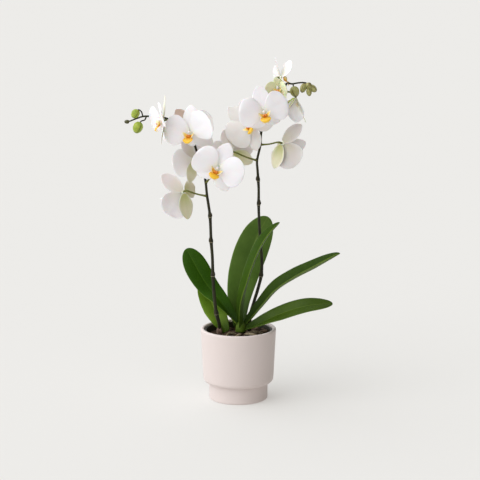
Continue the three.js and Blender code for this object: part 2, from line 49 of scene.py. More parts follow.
CAMERA_PLACE = (2.9, -2500, 744)
CAMERA_PITCH = 10.32  # degrees down
CAMERA_FOCUS = 1431  # focal length in pixels of a 480-pixel frame
FRAME_WIDTH = 480
SENSOR = 36.0


def add_camera():
    data = bpy.data.cameras.new("camera")
    data.sensor_width = SENSOR
    data.lens = SENSOR * CAMERA_FOCUS / FRAME_WIDTH
    data.clip_end = 100
    camera = bpy.data.objects.new("camera", data)
    camera.location = Vector(CAMERA_PLACE) * MM
    camera.rotation_euler = (math.radians(90 - CAMERA_PITCH), 0, 0)
    bpy.context.scene.collection.objects.link(camera)
    bpy.context.scene.camera = camera


def add_sun(name, towards, energy, spread, colour):
    data = bpy.data.lights.new(name, "SUN")
    data.energy = energy
    data.angle = math.radians(spread)
    data.color = colour
    lamp = bpy.data.objects.new(name, data)
    lamp.rotation_euler = Vector(towards).to_track_quat("-Z", "Y").to_euler()
    bpy.context.scene.collection.objects.link(lamp)


# The soft light of a studio: a dome that is brighter on the left than on the right.
DOME_LEFT = (1.86, 1.92, 1.96)
DOME_RIGHT = (0.09, 0.075, 0.05)
DOME_EDGE = 0.95  # how far to either side the light still changes, of 1
BACKDROP = (0.835, 0.825, 0.805)  # what is seen beyond the floor's far edge


def add_dome():
    world = bpy.data.worlds.new("studio")
    bpy.context.scene.world = world
    world.use_nodes = True
    tree = world.node_tree
    parts = tree.nodes.new("ShaderNodeSeparateXYZ")
    tree.links.new(tree.nodes.new("ShaderNodeTexCoord").outputs["Generated"], parts.inputs[0])
    dome = mixed(tree, ranged(tree, parts.outputs["X"], -DOME_EDGE, DOME_EDGE), DOME_LEFT, DOME_RIGHT)
    straight = tree.nodes.new("ShaderNodeLightPath").outputs["Is Camera Ray"]
    tree.links.new(mixed(tree, straight, dome, BACKDROP), tree.nodes["Background"].inputs["Color"])


# --- small helpers


def deselect_all():
    if bpy.context.object and bpy.context.object.mode != "OBJECT":
        bpy.ops.object.mode_set(mode="OBJECT")
    bpy.ops.object.select_all(action="DESELECT")


def make_active(piece):
    deselect_all()
    piece.select_set(True)
    bpy.context.view_layer.objects.active = piece


def apply_modifier(piece, kind, **settings):
    make_active(piece)
    modifier = piece.modifiers.new(kind.title(), kind)
    for key, value in settings.items():
        setattr(modifier, key, value)
    bpy.ops.object.modifier_apply(modifier=modifier.name)


def refine(piece, levels):
    apply_modifier(piece, "SUBSURF", levels=levels, render_levels=levels)


def smooth(piece, angle=40):
    make_active(piece)
    bpy.ops.object.shade_smooth_by_angle(angle=math.radians(angle))


def copy_of(piece):
    twin = piece.copy()
    twin.data = piece.data.copy()
    bpy.context.scene.collection.objects.link(twin)
    return twin


def joined(name, pieces):
    """Several meshes as one, with their materials."""
    make_active(pieces[0])
    for piece in pieces[1:]:
        piece.select_set(True)
    bpy.ops.object.join()
    whole = bpy.context.object
    whole.name = name
    whole.data.name = name
    return whole


def paint(piece, *materials):
    """Sets the piece's materials slot by slot, which leaves each face's own slot as it was."""
    slots = piece.data.materials
    while len(slots) < len(materials):
        slots.append(None)
    for i, made in enumerate(materials):
        slots[i] = made
    return piece


def dress(piece, slot, *nodes):
    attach(piece, "root")
    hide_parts(*nodes)


def lerp(a, b, t):
    return a + (b - a) * t


def clamp01(x):
    return min(1.0, max(0.0, x))


def hump(x, middle, width):
    """1 at the middle, falling to 0 on both sides."""
    return math.exp(-(((x - middle) / width) ** 2))


def square_to(along, way):
    """The part of a way that is square to along, as a unit vector."""
    return (way - along * way.dot(along)).normalized()


def upright_to(axis):
    """The turn that lays +Z along an axis."""
    return Vector((0, 0, 1)).rotation_difference(Vector(axis).normalized()).to_matrix().to_4x4()


class Curve:
    """A smooth curve through points (centripetal Catmull-Rom), read by the way along it."""

    STEPS = 24

    def __init__(self, points):
        p = [Vector(q) for q in points]
        p = [2 * p[0] - p[1], *p, 2 * p[-1] - p[-2]]
        self.samples = [p[1]]
        for k in range(1, len(p) - 2):
            self.samples += self.span(*p[k - 1 : k + 3])
        self.reach = [0.0]
        for a, b in zip(self.samples, self.samples[1:]):
            self.reach.append(self.reach[-1] + (b - a).length)

    def span(self, a, b, c, d):
        t0, t1, t2 = (max((y - x).length ** 0.5, 1e-4) for x, y in ((a, b), (b, c), (c, d)))
        leave = ((b - a) / t0 - (c - a) / (t0 + t1) + (c - b) / t1) * t1
        arrive = ((c - b) / t1 - (d - b) / (t1 + t2) + (d - c) / t2) * t1
        found = []
        for i in range(1, self.STEPS + 1):
            u = i / self.STEPS
            found.append(
                b * (2 * u**3 - 3 * u**2 + 1)
                + leave * (u**3 - 2 * u**2 + u)
                + c * (3 * u**2 - 2 * u**3)
                + arrive * (u**3 - u**2)
            )
        return found

    @property
    def length(self):
        return self.reach[-1]

    def at(self, t):
        wanted = clamp01(t) * self.length
        low, high = 0, len(self.reach) - 1
        while high - low > 1:
            middle = (low + high) // 2
            low, high = (middle, high) if self.reach[middle] <= wanted else (low, middle)
        share = (wanted - self.reach[low]) / max(self.reach[high] - self.reach[low], 1e-9)
        return self.samples[low].lerp(self.samples[high], share)

    def tangent(self, t):
        return (self.at(min(1, t + 0.01)) - self.at(max(0, t - 0.01))).normalized()


# --- modelling


def turned(name, profile, sides):
    """A turned solid from [radius, height] points, the first and last ring closed flat."""
    deselect_all()
    radius, height = profile[0]
    bpy.ops.mesh.primitive_circle_add(
        vertices=sides, radius=radius * MM, location=(0, 0, height * MM), fill_type="NGON"
    )
    piece = bpy.context.object
    piece.name = name
    bpy.ops.object.transform_apply(location=True, rotation=True, scale=True)
    bpy.ops.object.mode_set(mode="EDIT")
    bpy.ops.mesh.select_all(action="SELECT")
    for (r0, z0), (r1, z1) in zip(profile, profile[1:]):
        bpy.ops.mesh.extrude_region_move(TRANSFORM_OT_translate={"value": (0, 0, (z1 - z0) * MM)})
        bpy.ops.transform.resize(value=(r1 / r0, r1 / r0, 1))
    bpy.ops.mesh.select_all(action="SELECT")
    bpy.ops.mesh.normals_make_consistent(inside=False)
    bpy.ops.object.mode_set(mode="OBJECT")
    return piece


def rounded(corners, steps=4):
    """Profile points of [radius, height, fillet] corners, with each fillet drawn as an arc."""
    points = []
    for i, (r, z, fillet) in enumerate(corners):
        here = Vector((r, z))
        if not fillet or i in (0, len(corners) - 1):
            points.append((r, z))
            continue
        before = (Vector(corners[i - 1][:2]) - here).normalized()
        after = (Vector(corners[i + 1][:2]) - here).normalized()
        half = before.angle(after) / 2
        reach = fillet / math.tan(half)
        start, end = here + before * reach, here + after * reach
        centre = here + (before + after).normalized() * (fillet / math.sin(half))
        for k in range(steps + 1):
            way = (start - centre).lerp(end - centre, k / steps).normalized()
            points.append(tuple(centre + way * fillet))
    return points


def blade(name, columns, rows, place, thickness, levels=1):
    """A thin closed blade. A grid is bent by place(t, s), which gives the point in millimetres for
    t along it from 0 to 1 and s across it from -1 to 1, then thickened and refined. Its face has the
    first material and its back the second."""
    deselect_all()
    bpy.ops.mesh.primitive_grid_add(x_subdivisions=columns, y_subdivisions=rows, size=2)
    piece = bpy.context.object
    piece.name = name
    mesh = piece.data
    ways = []
    for vertex in mesh.vertices:
        u, v = vertex.co.x, vertex.co.y
        x, y = u * math.sqrt(1 - v * v / 2), v * math.sqrt(1 - u * u / 2)
        chord = math.sqrt(max(0.0, 1 - y * y))
        t, s = (y + 1) / 2, (x / chord if chord > 1e-4 else 0.0)
        ways.append((t, s))
        vertex.co = Vector(place(t, s)) * MM
    layer = mesh.uv_layers[0]
    for loop in mesh.loops:
        t, s = ways[loop.vertex_index]
        layer.data[loop.index].uv = ((s + 1) / 2, t)
    paint(piece, None, None)
    apply_modifier(
        piece, "SOLIDIFY", thickness=thickness * MM, offset=0, use_even_offset=False,
        material_offset=1, material_offset_rim=0, use_quality_normals=True,
    )
    refine(piece, levels)
    bpy.ops.object.shade_smooth()
    return piece


def stalk(name, curve, steps, radius_at, sides=4):
    """A round stalk along a curve, its radius in millimetres given for each point of the way."""
    deselect_all()
    bpy.ops.curve.primitive_nurbs_path_add()
    path = bpy.context.object
    path.name = name
    data = path.data
    data.splines.clear()
    spline = data.splines.new("POLY")
    spline.points.add(steps)
    for i, point in enumerate(spline.points):
        t = i / steps
        point.co = (*(curve.at(t) * MM), 1)
        point.radius = radius_at(t)
    data.bevel_depth = MM
    data.bevel_resolution = sides
    data.use_fill_caps = True
    data.dimensions = "3D"
    path.location = (0, 0, 0)
    path.rotation_euler = (0, 0, 0)
    bpy.ops.object.convert(target="MESH")
    piece = bpy.context.object
    bpy.ops.object.transform_apply(location=True, rotation=True, scale=True)
    piece.data.shade_smooth()
    return piece


def ball(name, centre, radii, axis, segments=20, rings=14, shape=None):
    """A rounded body along an axis. shape(vertex direction) scales each point's distance."""
    deselect_all()
    bpy.ops.mesh.primitive_uv_sphere_add(segments=segments, ring_count=rings, radius=1)
    piece = bpy.context.object
    piece.name = name
    for vertex in piece.data.vertices:
        share = shape(vertex.co.normalized()) if shape else Vector((1, 1, 1))
        vertex.co = Vector(v * r * k * MM for v, r, k in zip(vertex.co, radii, share))
    piece.data.transform(Matrix.Translation(Vector(centre) * MM) @ upright_to(axis))
    piece.data.shade_smooth()
    return piece


# --- the model's own dimensions

POT_RADIUS, POT_HEIGHT = 67.5, 129
POT_WALL, POT_FLOOR = 6, 7
FLAT_MIDDLE = 8  # radius of the flat middle that each turned piece starts and ends with
SHOULDER_RADIUS, SHOULDER_HEIGHT = 63.5, 42
FOOT_RADIUS, FOOT_HEIGHT = 52.7, 29
LINER_TOP_RADIUS, LINER_FOOT_RADIUS = 59.5, 42
LINER_TOP, LINER_BOTTOM = 125.5, 7.35
LINER_WALL = 1.6
LINER_RIM_DEPTH, LINER_LEDGE = 6, 1.5  # of the band round its mouth
BARK_LEVEL, BARK_RISE = 112, 3
STEM_FOOT = 101
SPIKE_BASE_RADIUS, SPIKE_TOP_RADIUS, SPIKE_TIP_RADIUS = 3.2, 1.7, 1.2
JOINT_SWELL = 0.95
JOINT_BRACT, FLOWER_BRACT = (9, 7.2), (6, 5)  # length and width
HUSK_RADII = (5.2, 5.2, 8)
PEDICEL_RADIUS, PEDICEL_SAG = 1.3, 1
BUD_STALK_RADIUS = 1.25
END_BUD_LENGTH = 10  # a bud shorter than this is a dark end bud
TEPAL_START = 3  # from a flower's middle to where its petals and sepals begin
HUB_BACK = 3.2  # how far the middle reaches back to its stalk
COLUMN_LENGTH = 9
LIP_SCALE = 1.3

# widest: how far along. base: its width at the base, as a share. base_curve and tip_curve: how long it
# stays broad. point: 0.5 for a round tip, more for a pointed one. lift: how far in front of the middle
# it starts. curl: degrees that it bends back from base to tip.
PETAL = dict(
    length=46, width=57, widest=0.52, base=0.16, base_curve=1.6, tip_curve=2.2, point=0.5, lift=0.9, curl=12,
)
SEPAL = dict(
    length=47, width=33, widest=0.48, base=0.28, base_curve=1.5, tip_curve=1.7, point=0.66, lift=-2, curl=10,
)

# spine: points along the midrib. width: widest. face: the way the upper side looks, at the base and
# at the tip. fold: degrees that each half rises from flat, at the base and past its middle.
LEAVES = {
    "middle_front": dict(
        spine=[(7, 0, 128), (10, -12, 184), (25, -22, 244), (48, -25, 295), (73, -18, 324)],
        width=42, face=((-1, -0.3, 0.35), (-1, -0.3, 0.35)), fold=(60, 30), widest=0.5, look="grey-green",
    ),
    "middle_back": dict(
        spine=[(0, 9, 126), (0, 34, 175), (13, 52, 230), (34, 57, 285), (53, 50, 323)],
        width=62, face=((0.2, -1, 0.3), (0.2, -1, 0.3)), fold=(42, 7), widest=0.64, look="blue-green",
    ),
    "right_upper": dict(
        spine=[(14, -2, 134), (43, -10, 171), (70, -16, 203), (102, -16, 224), (134, -13, 240),
               (181, -6, 266)],
        width=41, face=((-0.5, -0.54, 0.67), (-0.6, -0.25, 0.75)), fold=(57, 46), widest=0.45,
        look="dark green",
    ),
    "left_upper": dict(
        spine=[(-2, 3, 131), (-13, 8, 145), (-25, 12, 162), (-40, 20, 182), (-59, 30, 204), (-94, 40, 266)],
        width=46, face=((0.68, -0.42, 0.6), (0.05, -1, 0.3)), fold=(58, 6), widest=0.68, look="deep green",
    ),
    "right_lower": dict(
        spine=[(14, -6, 127), (33, -20, 139), (58, -28, 153), (83, -34, 165), (121, -40, 178),
               (167, -34, 181)],
        width=36, face=((-0.3, -0.6, 0.8), (-0.1, -0.6, 0.8)), fold=(50, 14), widest=0.5, look="olive-green",
    ),
    "left_lower": dict(
        spine=[(-23, 19, 115), (-38, 29, 143), (-48, 37, 164), (-58, 43, 181), (-71, 46, 197)],
        width=42, face=((0.3, -1, 0.3), (0.2, -1, 0.4)), fold=(38, 12), widest=0.5, look="fresh green",
    ),
}

CROWN = dict(x=4, y=1, foot=120.4, top=141)
ROOTSTOCK, ROOTSTOCK_RADII = (CROWN["x"], CROWN["y"], 112), (8.6, 8.6, 6.2)
ROOT_RADIUS = 2.35
ROOTS = [
    [(18, -16, 121), (34, -30, 120), (43, -28, 103)],
    [(24, -6, 122), (42, -7, 120), (49, 3, 103)],
    [(3, -20, 121), (-6, -36, 119), (-15, -41, 103)],
    [(-14, -6, 120), (-22, -24, 118), (-28, -34, 103)],
    [(8, 18, 120), (10, 36, 118), (4, 46, 103)],
]

# stem: the arching stem of each spike. joints: the heights up it where it has a ringed joint.
# sheath: that of a dry husk round its foot. tip: the rest of the stem, among the buds.
# stalk: the way to a bud that hangs by a longer stalk.
SPIKES = {
    "left": dict(
        stem=[
            (-35, -12, STEM_FOOT), (-34, -14, 137), (-39, -18, 159), (-43, -20, 195), (-45, -20, 228),
            (-46, -18, 263), (-48, -16, 289), (-50, -13, 334), (-55, -10, 370), (-59, -8, 403),
            (-72, -5, 445), (-82, -2, 471), (-99, 4, 488), (-119, 12, 501), (-140, 12, 507), (-156, 7, 508),
        ],
        joints=(159, 228, 289, 334),
        sheath=124,
        tip=[(-167, 3, 508), (-177, 1, 505), (-190, 0, 500)],
        buds=[
            dict(at=(-195, 0, 499), length=9, width=7, points=(-1, 0, 0)),
            dict(at=(-180, 0, 513), length=17, width=15, points=(-0.5, 0, -0.8),
                 stalk=[(-167, 3, 508), (-170, 2, 517), (-175, 1, 520)]),
            dict(at=(-176, -1, 489), length=21, width=18, points=(-0.4, 0, -0.9),
                 stalk=[(-161, 5, 508), (-164, 2, 502), (-170, 0, 500)]),
        ],
    ),
    "right": dict(
        stem=[
            (20, 11, STEM_FOOT), (21, 12, 146), (28, 14, 173), (35, 16, 196), (41, 16, 222), (42, 15, 248),
            (39, 12, 288), (37, 10, 319), (36, 10, 353), (36, 10, 379), (34, 10, 412), (33, 10, 428),
            (39, 10, 458), (41, 10, 484), (49, 10, 499), (63, 10, 524), (73, 8, 549), (83, 5, 563),
        ],
        joints=(222, 353, 395, 484),
        sheath=None,
        tip=[(93, 2, 565), (106, 0, 567), (116, 0, 567), (125, 0, 563)],
        buds=[
            dict(at=(98, -5, 552), length=19, width=17, points=(0.35, -0.2, -0.9)),
            dict(at=(113, -3, 558), length=17, width=11.5, points=(-0.3, -0.2, -0.9)),
            dict(at=(122, -4, 562), length=14, width=12, points=(0.3, -0.6, 0.5)),
            dict(at=(130, 0, 557), length=16, width=12, points=(0.7, 0, -0.6)),
            dict(at=(123, -5, 551), length=14, width=10, points=(0.1, -0.2, -0.9)),
        ],
    ),
}

# joint: the height up the stem where its stalk starts. at: its middle. facing: degrees right of the
# viewer and above level. roll: degrees anticlockwise, looking into it. size: 1 for a full-grown flower.
# lean: degrees that each tepal leans forwards: top sepal, right and left petal, right and left side
# sepal. angles: where they are, in that order. breadth: the width of the tepals as a share of the usual.
# looks: the finishes of the top sepal, the petals and the side sepals, where they aren't the usual.
EVEN = (90, 14, 166, -48, -132)
CUPPED = (16, 24, 24, 14, 14)
BLOOMS = {
    "left_1": dict(joint=368, at=(-98, -6, 376), facing=(-140, -15), roll=-45, size=1,
                   lean=(18, 24, 104, 12, 32), angles=(90, -6, 128, -50, 216)),
    "left_2": dict(joint=428, at=(-79, 6, 433), facing=(-130, -8), roll=-24, size=0.88, lean=CUPPED),
    "left_3": dict(joint=390, at=(-36, -45, 423), facing=(-8, -8), roll=-26, size=0.98,
                   lean=(2, 9, 22, -10, -22)),
    "left_4": dict(joint=458, at=(-82, -40, 484), facing=(-26, -6), roll=0, size=0.96,
                   lean=(0, 9, 28, -36, -36), angles=(90, 32, 168, -48, -132)),
    "left_5": dict(joint=480, at=(-83, 36, 486), facing=(165, 5), roll=-40, size=0.84,
                   lean=(0, 9, 9, 28, 0), angles=(90, 14, 200, -48, -120), looks=("tan", "petal", "side")),
    "left_6": dict(joint=499, at=(-131, -33, 504), facing=(-82, -12), roll=0, size=0.88,
                   lean=(-12, 6, 32, 25, 12), angles=(84, 30, 172, -66, -120), breadth=0.9,
                   looks=("green", "petal", "side")),
    # right_1 and right_3 wear the darker tepal look, which is painted shade for blooms on the side away from
    # the light
    "right_1": dict(joint=457, at=(78, 0, 461), facing=(136, -15), roll=38, size=0.96,
                    lean=(18, 116, 22, 46, 12), angles=(90, 14, 193, -72, -111),
                    looks=("shaded", "shaded", "side")),
    "right_2": dict(joint=428, at=(-11, 24, 443), facing=(-160, -6), roll=-20, size=0.85,
                    lean=(8, 8, 8, 6, 6)),
    "right_3": dict(joint=480, at=(18, 2, 494), facing=(-24, -8), roll=56, size=0.98, lean=(4, 9, 9, 5, 6),
                    looks=("shaded", "shaded", "shaded")),
    "right_4": dict(joint=530, at=(44, -48, 520), facing=(4, -5), roll=12, size=0.93,
                    lean=(0, -4, 20, -32, -32)),
    "right_5": dict(joint=545, at=(69, -16, 559), facing=(-16, -12), roll=0, size=0.5,
                    lean=(38, 50, 50, 36, 32), breadth=0.85, looks=("young", "young", "young")),
    "right_6": dict(joint=561, at=(75, 33, 574), facing=(97, 4), roll=0, size=0.72,
                    lean=(-6, -12, 38, 20, 20), angles=(90, 12, 120, -48, -132), breadth=0.8),
    "right_7": dict(joint=552, at=(99, 5, 538), facing=(-55, -72), roll=0, size=0.96,
                    lean=(66, 70, 62, 60, 56), breadth=0.64, looks=("green", "petal", "green")),
}
USUAL_LOOKS = ("top", "petal", "side")


def blade_width(t, widest, base, base_curve, tip_curve, point, **_):
    """Half-width along a blade as a share of its widest; its tip is round at a point of 0.5."""
    if t < widest:
        return base + (1 - base) * (1 - ((widest - t) / widest) ** base_curve) ** 0.8
    return max(0.0, 1 - ((t - widest) / (1 - widest)) ** tip_curve) ** point


# --- materials


def group_of(name, inputs, outputs):
    """An empty shader node group with its input and output nodes. Its inputs are numbers with their
    defaults, or a vector where the default is None, and its outputs are numbers."""
    group = bpy.data.node_groups.new(name, "ShaderNodeTree")
    for socket, default in inputs.items():
        kind = "NodeSocketVector" if default is None else "NodeSocketFloat"
        made = group.interface.new_socket(socket, in_out="INPUT", socket_type=kind)
        if default is not None:
            made.default_value = default
    for socket in outputs:
        group.interface.new_socket(socket, in_out="OUTPUT", socket_type="NodeSocketFloat")
    return group, group.nodes.new("NodeGroupInput"), group.nodes.new("NodeGroupOutput")


def maths(tree, operation, a, b=None):
    node = tree.nodes.new("ShaderNodeMath")
    node.operation = operation
    for socket, value in zip(node.inputs, (a, b)):
        if value is None:
            continue
        if isinstance(value, (int, float)):
            socket.default_value = value
        else:
            tree.links.new(value, socket)
    return node.outputs[0]


def ranged(tree, value, low, high, start=0.0, end=1.0):
    """The value's way from low to high, smoothly, as start to end."""
    node = tree.nodes.new("ShaderNodeMapRange")
    node.interpolation_type = "SMOOTHSTEP"
    tree.links.new(value, node.inputs["Value"])
    for socket, setting in zip(("From Min", "From Max", "To Min", "To Max"), (low, high, start, end)):
        if isinstance(setting, (int, float)):
            node.inputs[socket].default_value = setting
        else:
            tree.links.new(setting, node.inputs[socket])
    return node.outputs["Result"]


def mixed(tree, share, under, over):
    """One colour mixed over another by a share. Each is a colour or a socket that gives one."""
    node = tree.nodes.new("ShaderNodeMix")
    node.data_type = "RGBA"
    tree.links.new(share, node.inputs[0])
    for socket, colour in ((node.inputs[6], under), (node.inputs[7], over)):
        if isinstance(colour, tuple):
            socket.default_value = (*colour, 1)
        else:
            tree.links.new(colour, socket)
    return node.outputs[2]


def make_patches_group():
    """Soft uneven patches: 0 to 1 over the surface."""
    group, source, sink = group_of(
        "patches", {"Vector": None, "Scale": 100.0, "Detail": 3.0, "Softness": 0.2}, ["Mask"]
    )
    noise = group.nodes.new("ShaderNodeTexNoise")
    for socket in ("Vector", "Scale", "Detail"):
        group.links.new(source.outputs[socket], noise.inputs[socket])
    low = maths(group, "SUBTRACT", 0.5, source.outputs["Softness"])
    high = maths(group, "ADD", 0.5, source.outputs["Softness"])
    group.links.new(ranged(group, noise.outputs["Fac"], low, high), sink.inputs["Mask"])
    return group


def make_veins_group():
    """Fine lines that run from a blade's base to its tip, over its own map: across it and along it.
    Mask is 1 on a vein. Middle is 1 on the midrib and Rim is 1 at the edge."""
    group, source, sink = group_of(
        "veins",
        {"UV": None, "Count": 9.0, "Waver": 0.4, "Width": 0.25, "Middle Width": 0.06, "Rim Width": 0.05},
        ["Mask", "Middle", "Rim", "Along"],
    )
    given = source.outputs

    def calc(operation, a, b=None):
        return maths(group, operation, a, b)

    parts = group.nodes.new("ShaderNodeSeparateXYZ")
    group.links.new(given["UV"], parts.inputs[0])
    noise = group.nodes.new("ShaderNodeTexNoise")
    noise.inputs["Scale"].default_value = 5
    noise.inputs["Detail"].default_value = 1
    group.links.new(given["UV"], noise.inputs["Vector"])
    across = calc("MULTIPLY", calc("ABSOLUTE", calc("SUBTRACT", parts.outputs["X"], 0.5)), 2)
    shift = calc("MULTIPLY", calc("SUBTRACT", noise.outputs["Fac"], 0.5), given["Waver"])
    way = calc("MULTIPLY", calc("ADD", across, shift), given["Count"])
    near = calc("ABSOLUTE", calc("SUBTRACT", calc("FRACT", way), 0.5))
    for name, result in (
        ("Mask", ranged(group, near, 0.0, given["Width"], 1.0, 0.0)),
        ("Middle", ranged(group, across, 0.0, given["Middle Width"], 1.0, 0.0)),
        ("Rim", ranged(group, across, calc("SUBTRACT", 1.0, given["Rim Width"]), 1.0)),
        ("Along", parts.outputs["Y"]),
    ):
        group.links.new(result, sink.inputs[name])
    return group


PATCHES = make_patches_group()
VEINS = make_veins_group()


class Finish:
    """A material with a Principled shader and short ways to build what feeds it."""

    def __init__(self, name, colour, roughness, **constants):
        self.material = bpy.data.materials.new(name)
        self.material.use_nodes = True
        self.tree = self.material.node_tree
        self.shader = self.tree.nodes["Principled BSDF"]
        self.colour = self.tree.nodes.new("ShaderNodeRGB").outputs[0]
        self.colour.default_value = (*colour, 1)
        self.shader.inputs["Roughness"].default_value = roughness
        for socket, value in constants.items():
            self.shader.inputs[socket.replace("_", " ")].default_value = value
        self.place = self.tree.nodes.new("ShaderNodeTexCoord")
        self.height = None

    def effect(self, group, socket, vector, **settings):
        """The outputs of a node group that is fed with a vector and its settings."""
        node = self.tree.nodes.new("ShaderNodeGroup")
        node.node_tree = group
        self.tree.links.new(vector, node.inputs[socket])
        for name, value in settings.items():
            node.inputs[name.replace("_", " ")].default_value = value
        return node.outputs

    def patches(self, scale, detail=3, softness=0.2, stretch=None):
        """A mask of soft patches over the object's own coordinates."""
        vector = self.place.outputs["Object"]
        if stretch:
            mapping = self.tree.nodes.new("ShaderNodeMapping")
            mapping.inputs["Scale"].default_value = stretch
            self.tree.links.new(vector, mapping.inputs["Vector"])
            vector = mapping.outputs["Vector"]
        return self.effect(PATCHES, "Vector", vector, Scale=scale, Detail=detail, Softness=softness)["Mask"]

    def veins(self, count, waver=0.4, width=0.25, middle=0.06, rim=0.05):
        return self.effect(VEINS, "UV", self.place.outputs["UV"], Count=count, Waver=waver, Width=width,
                           Middle_Width=middle, Rim_Width=rim)

    def tint(self, mask, colour, strength=1.0):
        """Mixes a colour over what is there, by the mask."""
        share = maths(self.tree, "MULTIPLY", mask, strength) if strength != 1.0 else mask
        self.colour = mixed(self.tree, share, self.colour, colour)

    def roughen(self, mask, low, high):
        result = ranged(self.tree, mask, 0.0, 1.0, low, high)
        self.tree.links.new(result, self.shader.inputs["Roughness"])

    def raise_by(self, mask, amount):
        """Adds the mask to the surface's relief, amount in millimetres."""
        step = maths(self.tree, "MULTIPLY", mask, amount)
        self.height = step if self.height is None else maths(self.tree, "ADD", self.height, step)

    def done(self):
        self.tree.links.new(self.colour, self.shader.inputs["Base Color"])
        if self.height is not None:
            bump = self.tree.nodes.new("ShaderNodeBump")
            bump.inputs["Distance"].default_value = MM
            self.tree.links.new(self.height, bump.inputs["Height"])
            self.tree.links.new(bump.outputs["Normal"], self.shader.inputs["Normal"])
        return self.material


def mottled(name, colour, roughness, tints, reliefs=(), **constants):
    """A finish with soft patches of other colours and of relief. A tint is its colour and strength,
    and a relief its height in millimetres; both end with what Finish.patches takes."""
    f = Finish(name, colour, roughness, **constants)
    for other, strength, *patches in tints:
        f.tint(f.patches(*patches), other, strength)
    for height, *patches in reliefs:
        f.raise_by(f.patches(*patches), height)
    return f.done()


def skin(name, colour, tints, reliefs=(), roughness=0.45, gloss=0.2):
    """A plain finish with little gloss, as most of the plant and of the bark has."""
    return mottled(name, colour, roughness, tints, reliefs, Specular_IOR_Level=gloss)


def glaze():
    return mottled(
        "pale pink-beige glaze", (0.645, 0.560, 0.536), 0.45,
        [((0.660, 0.568, 0.538), 0.6, 18, 4, 0.3), ((0.60, 0.52, 0.48), 0.12, 900, 2, 0.06)],
        [(0.25, 45, 2, 0.3), (0.015, 700, 2, 0.2)], Specular_IOR_Level=0.35,
    )


def grower_plastic():
    f = Finish("dark olive grower's plastic", (0.020, 0.018, 0.008), 0.45, Specular_IOR_Level=0.15)
    f.tint(f.patches(40, 4, 0.3), (0.036, 0.031, 0.016), 0.6)
    f.roughen(f.patches(90, 4, 0.3), 0.35, 0.6)
    f.raise_by(f.patches(60, 2, 0.3), 0.15)
    return f.done()


def bark_wood(name, dark, light):
    return skin(name, dark, [(light, 0.9, 90, 5, 0.12), ((0.15, 0.095, 0.06), 0.3, 420, 4, 0.1)],
                [(1.2, 260, 5, 0.3, (1, 1, 3.5))], 0.9, 0.15)


def root_velvet():
    return skin("silvery root velvet", (0.12, 0.085, 0.045),
                [((0.27, 0.22, 0.14), 0.8, 90, 4, 0.12), ((0.42, 0.37, 0.27), 0.35, 300, 4, 0.2)],
                [(0.5, 400, 4, 0.3)], 0.85, 0.1)


LEAF_RIM = (0.16, 0.24, 0.03)
# painted shade: the dark green mixed over each leaf towards its foot, where the leaves crowd at the crown
LEAF_FOOT_SHADE = (0.012, 0.030, 0.001)


def leaf_face(name, dark, light, midrib, roughness, gloss):
    """The upper side of a leaf: darker towards its foot with painted shade, with a midrib and a lighter rim.
    """
    f = Finish(name, dark, roughness, Specular_IOR_Level=gloss)
    lines = f.veins(26, 0.10, 0.5, 0.07, 0.05)
    f.tint(f.patches(24, 4, 0.25), light, 0.75)
    f.tint(lines["Mask"], light, 0.22)
    f.tint(lines["Middle"], midrib, 0.7)
    f.tint(lines["Rim"], LEAF_RIM, 0.6)
    # painted shade, darkening the leaf towards its foot
    f.tint(ranged(f.tree, lines["Along"], 0.36, 0.06), LEAF_FOOT_SHADE, 0.7)
    f.roughen(f.patches(70, 4, 0.25), roughness - 0.06, roughness + 0.10)
    f.raise_by(lines["Mask"], 0.05)
    f.raise_by(f.patches(160, 3, 0.3), 0.12)
    return f.done()


def leaf_back(name, colour, light):
    f = Finish(name, colour, 0.5, Specular_IOR_Level=0.12)
    lines = f.veins(26, 0.10, 0.5, 0.09, 0.05)
    f.tint(f.patches(26, 4, 0.25), light, 0.6)
    f.tint(lines["Middle"], light, 0.6)
    f.tint(lines["Rim"], LEAF_RIM, 0.6)
    f.raise_by(lines["Mask"], 0.12)
    return f.done()


# face: the dark and the light colour, the midrib's, roughness and gloss. back: colour and light.
LEAF_LOOKS = {
    "deep green": (
        ((0.020, 0.062, 0.0014), (0.034, 0.095, 0.003), (0.06, 0.13, 0.01), 0.34, 0.1),
        ((0.10, 0.17, 0.015), (0.16, 0.23, 0.03)),
    ),
    "dark green": (
        ((0.024, 0.056, 0.002), (0.048, 0.096, 0.006), (0.05, 0.10, 0.010), 0.36, 0.1),
        ((0.085, 0.14, 0.016), (0.13, 0.19, 0.03)),
    ),
    "blue-green": (
        ((0.055, 0.110, 0.014), (0.095, 0.165, 0.028), (0.14, 0.21, 0.04), 0.34, 0.1),
        ((0.12, 0.19, 0.03), (0.18, 0.25, 0.05)),
    ),
    "grey-green": (
        ((0.028, 0.066, 0.003), (0.045, 0.090, 0.006), (0.20, 0.29, 0.10), 0.36, 0.05),
        ((0.050, 0.10, 0.010), (0.080, 0.14, 0.018)),
    ),
    "olive-green": (
        ((0.034, 0.064, 0.004), (0.056, 0.098, 0.009), (0.09, 0.14, 0.02), 0.38, 0.10),
        ((0.11, 0.16, 0.015), (0.17, 0.22, 0.03)),
    ),
    "fresh green": (
        ((0.10, 0.19, 0.010), (0.20, 0.31, 0.035), (0.24, 0.34, 0.05), 0.38, 0.1),
        ((0.14, 0.21, 0.02), (0.22, 0.28, 0.04)),
    ),
}


def leaf_finishes():
    return {
        look: (leaf_face(f"{look} leaf", *face), leaf_back(f"{look} leaf underside", *back))
        for look, (face, back) in LEAF_LOOKS.items()
    }


def sheath_green():
    return skin("green leaf sheath", (0.050, 0.090, 0.006), [((0.105, 0.165, 0.016), 0.7, 60, 4, 0.2)],
                [(0.35, 120, 3, 0.3, (4, 4, 0.5))], 0.5, 0.1)


def spike_skin():
    return skin("dark spike skin", (0.010, 0.010, 0.004),
                [((0.026, 0.028, 0.008), 0.7, 70, 4, 0.2), ((0.045, 0.036, 0.016), 0.3, 420, 3, 0.1)],
                [(0.2, 300, 3, 0.3, (1, 1, 0.3))])


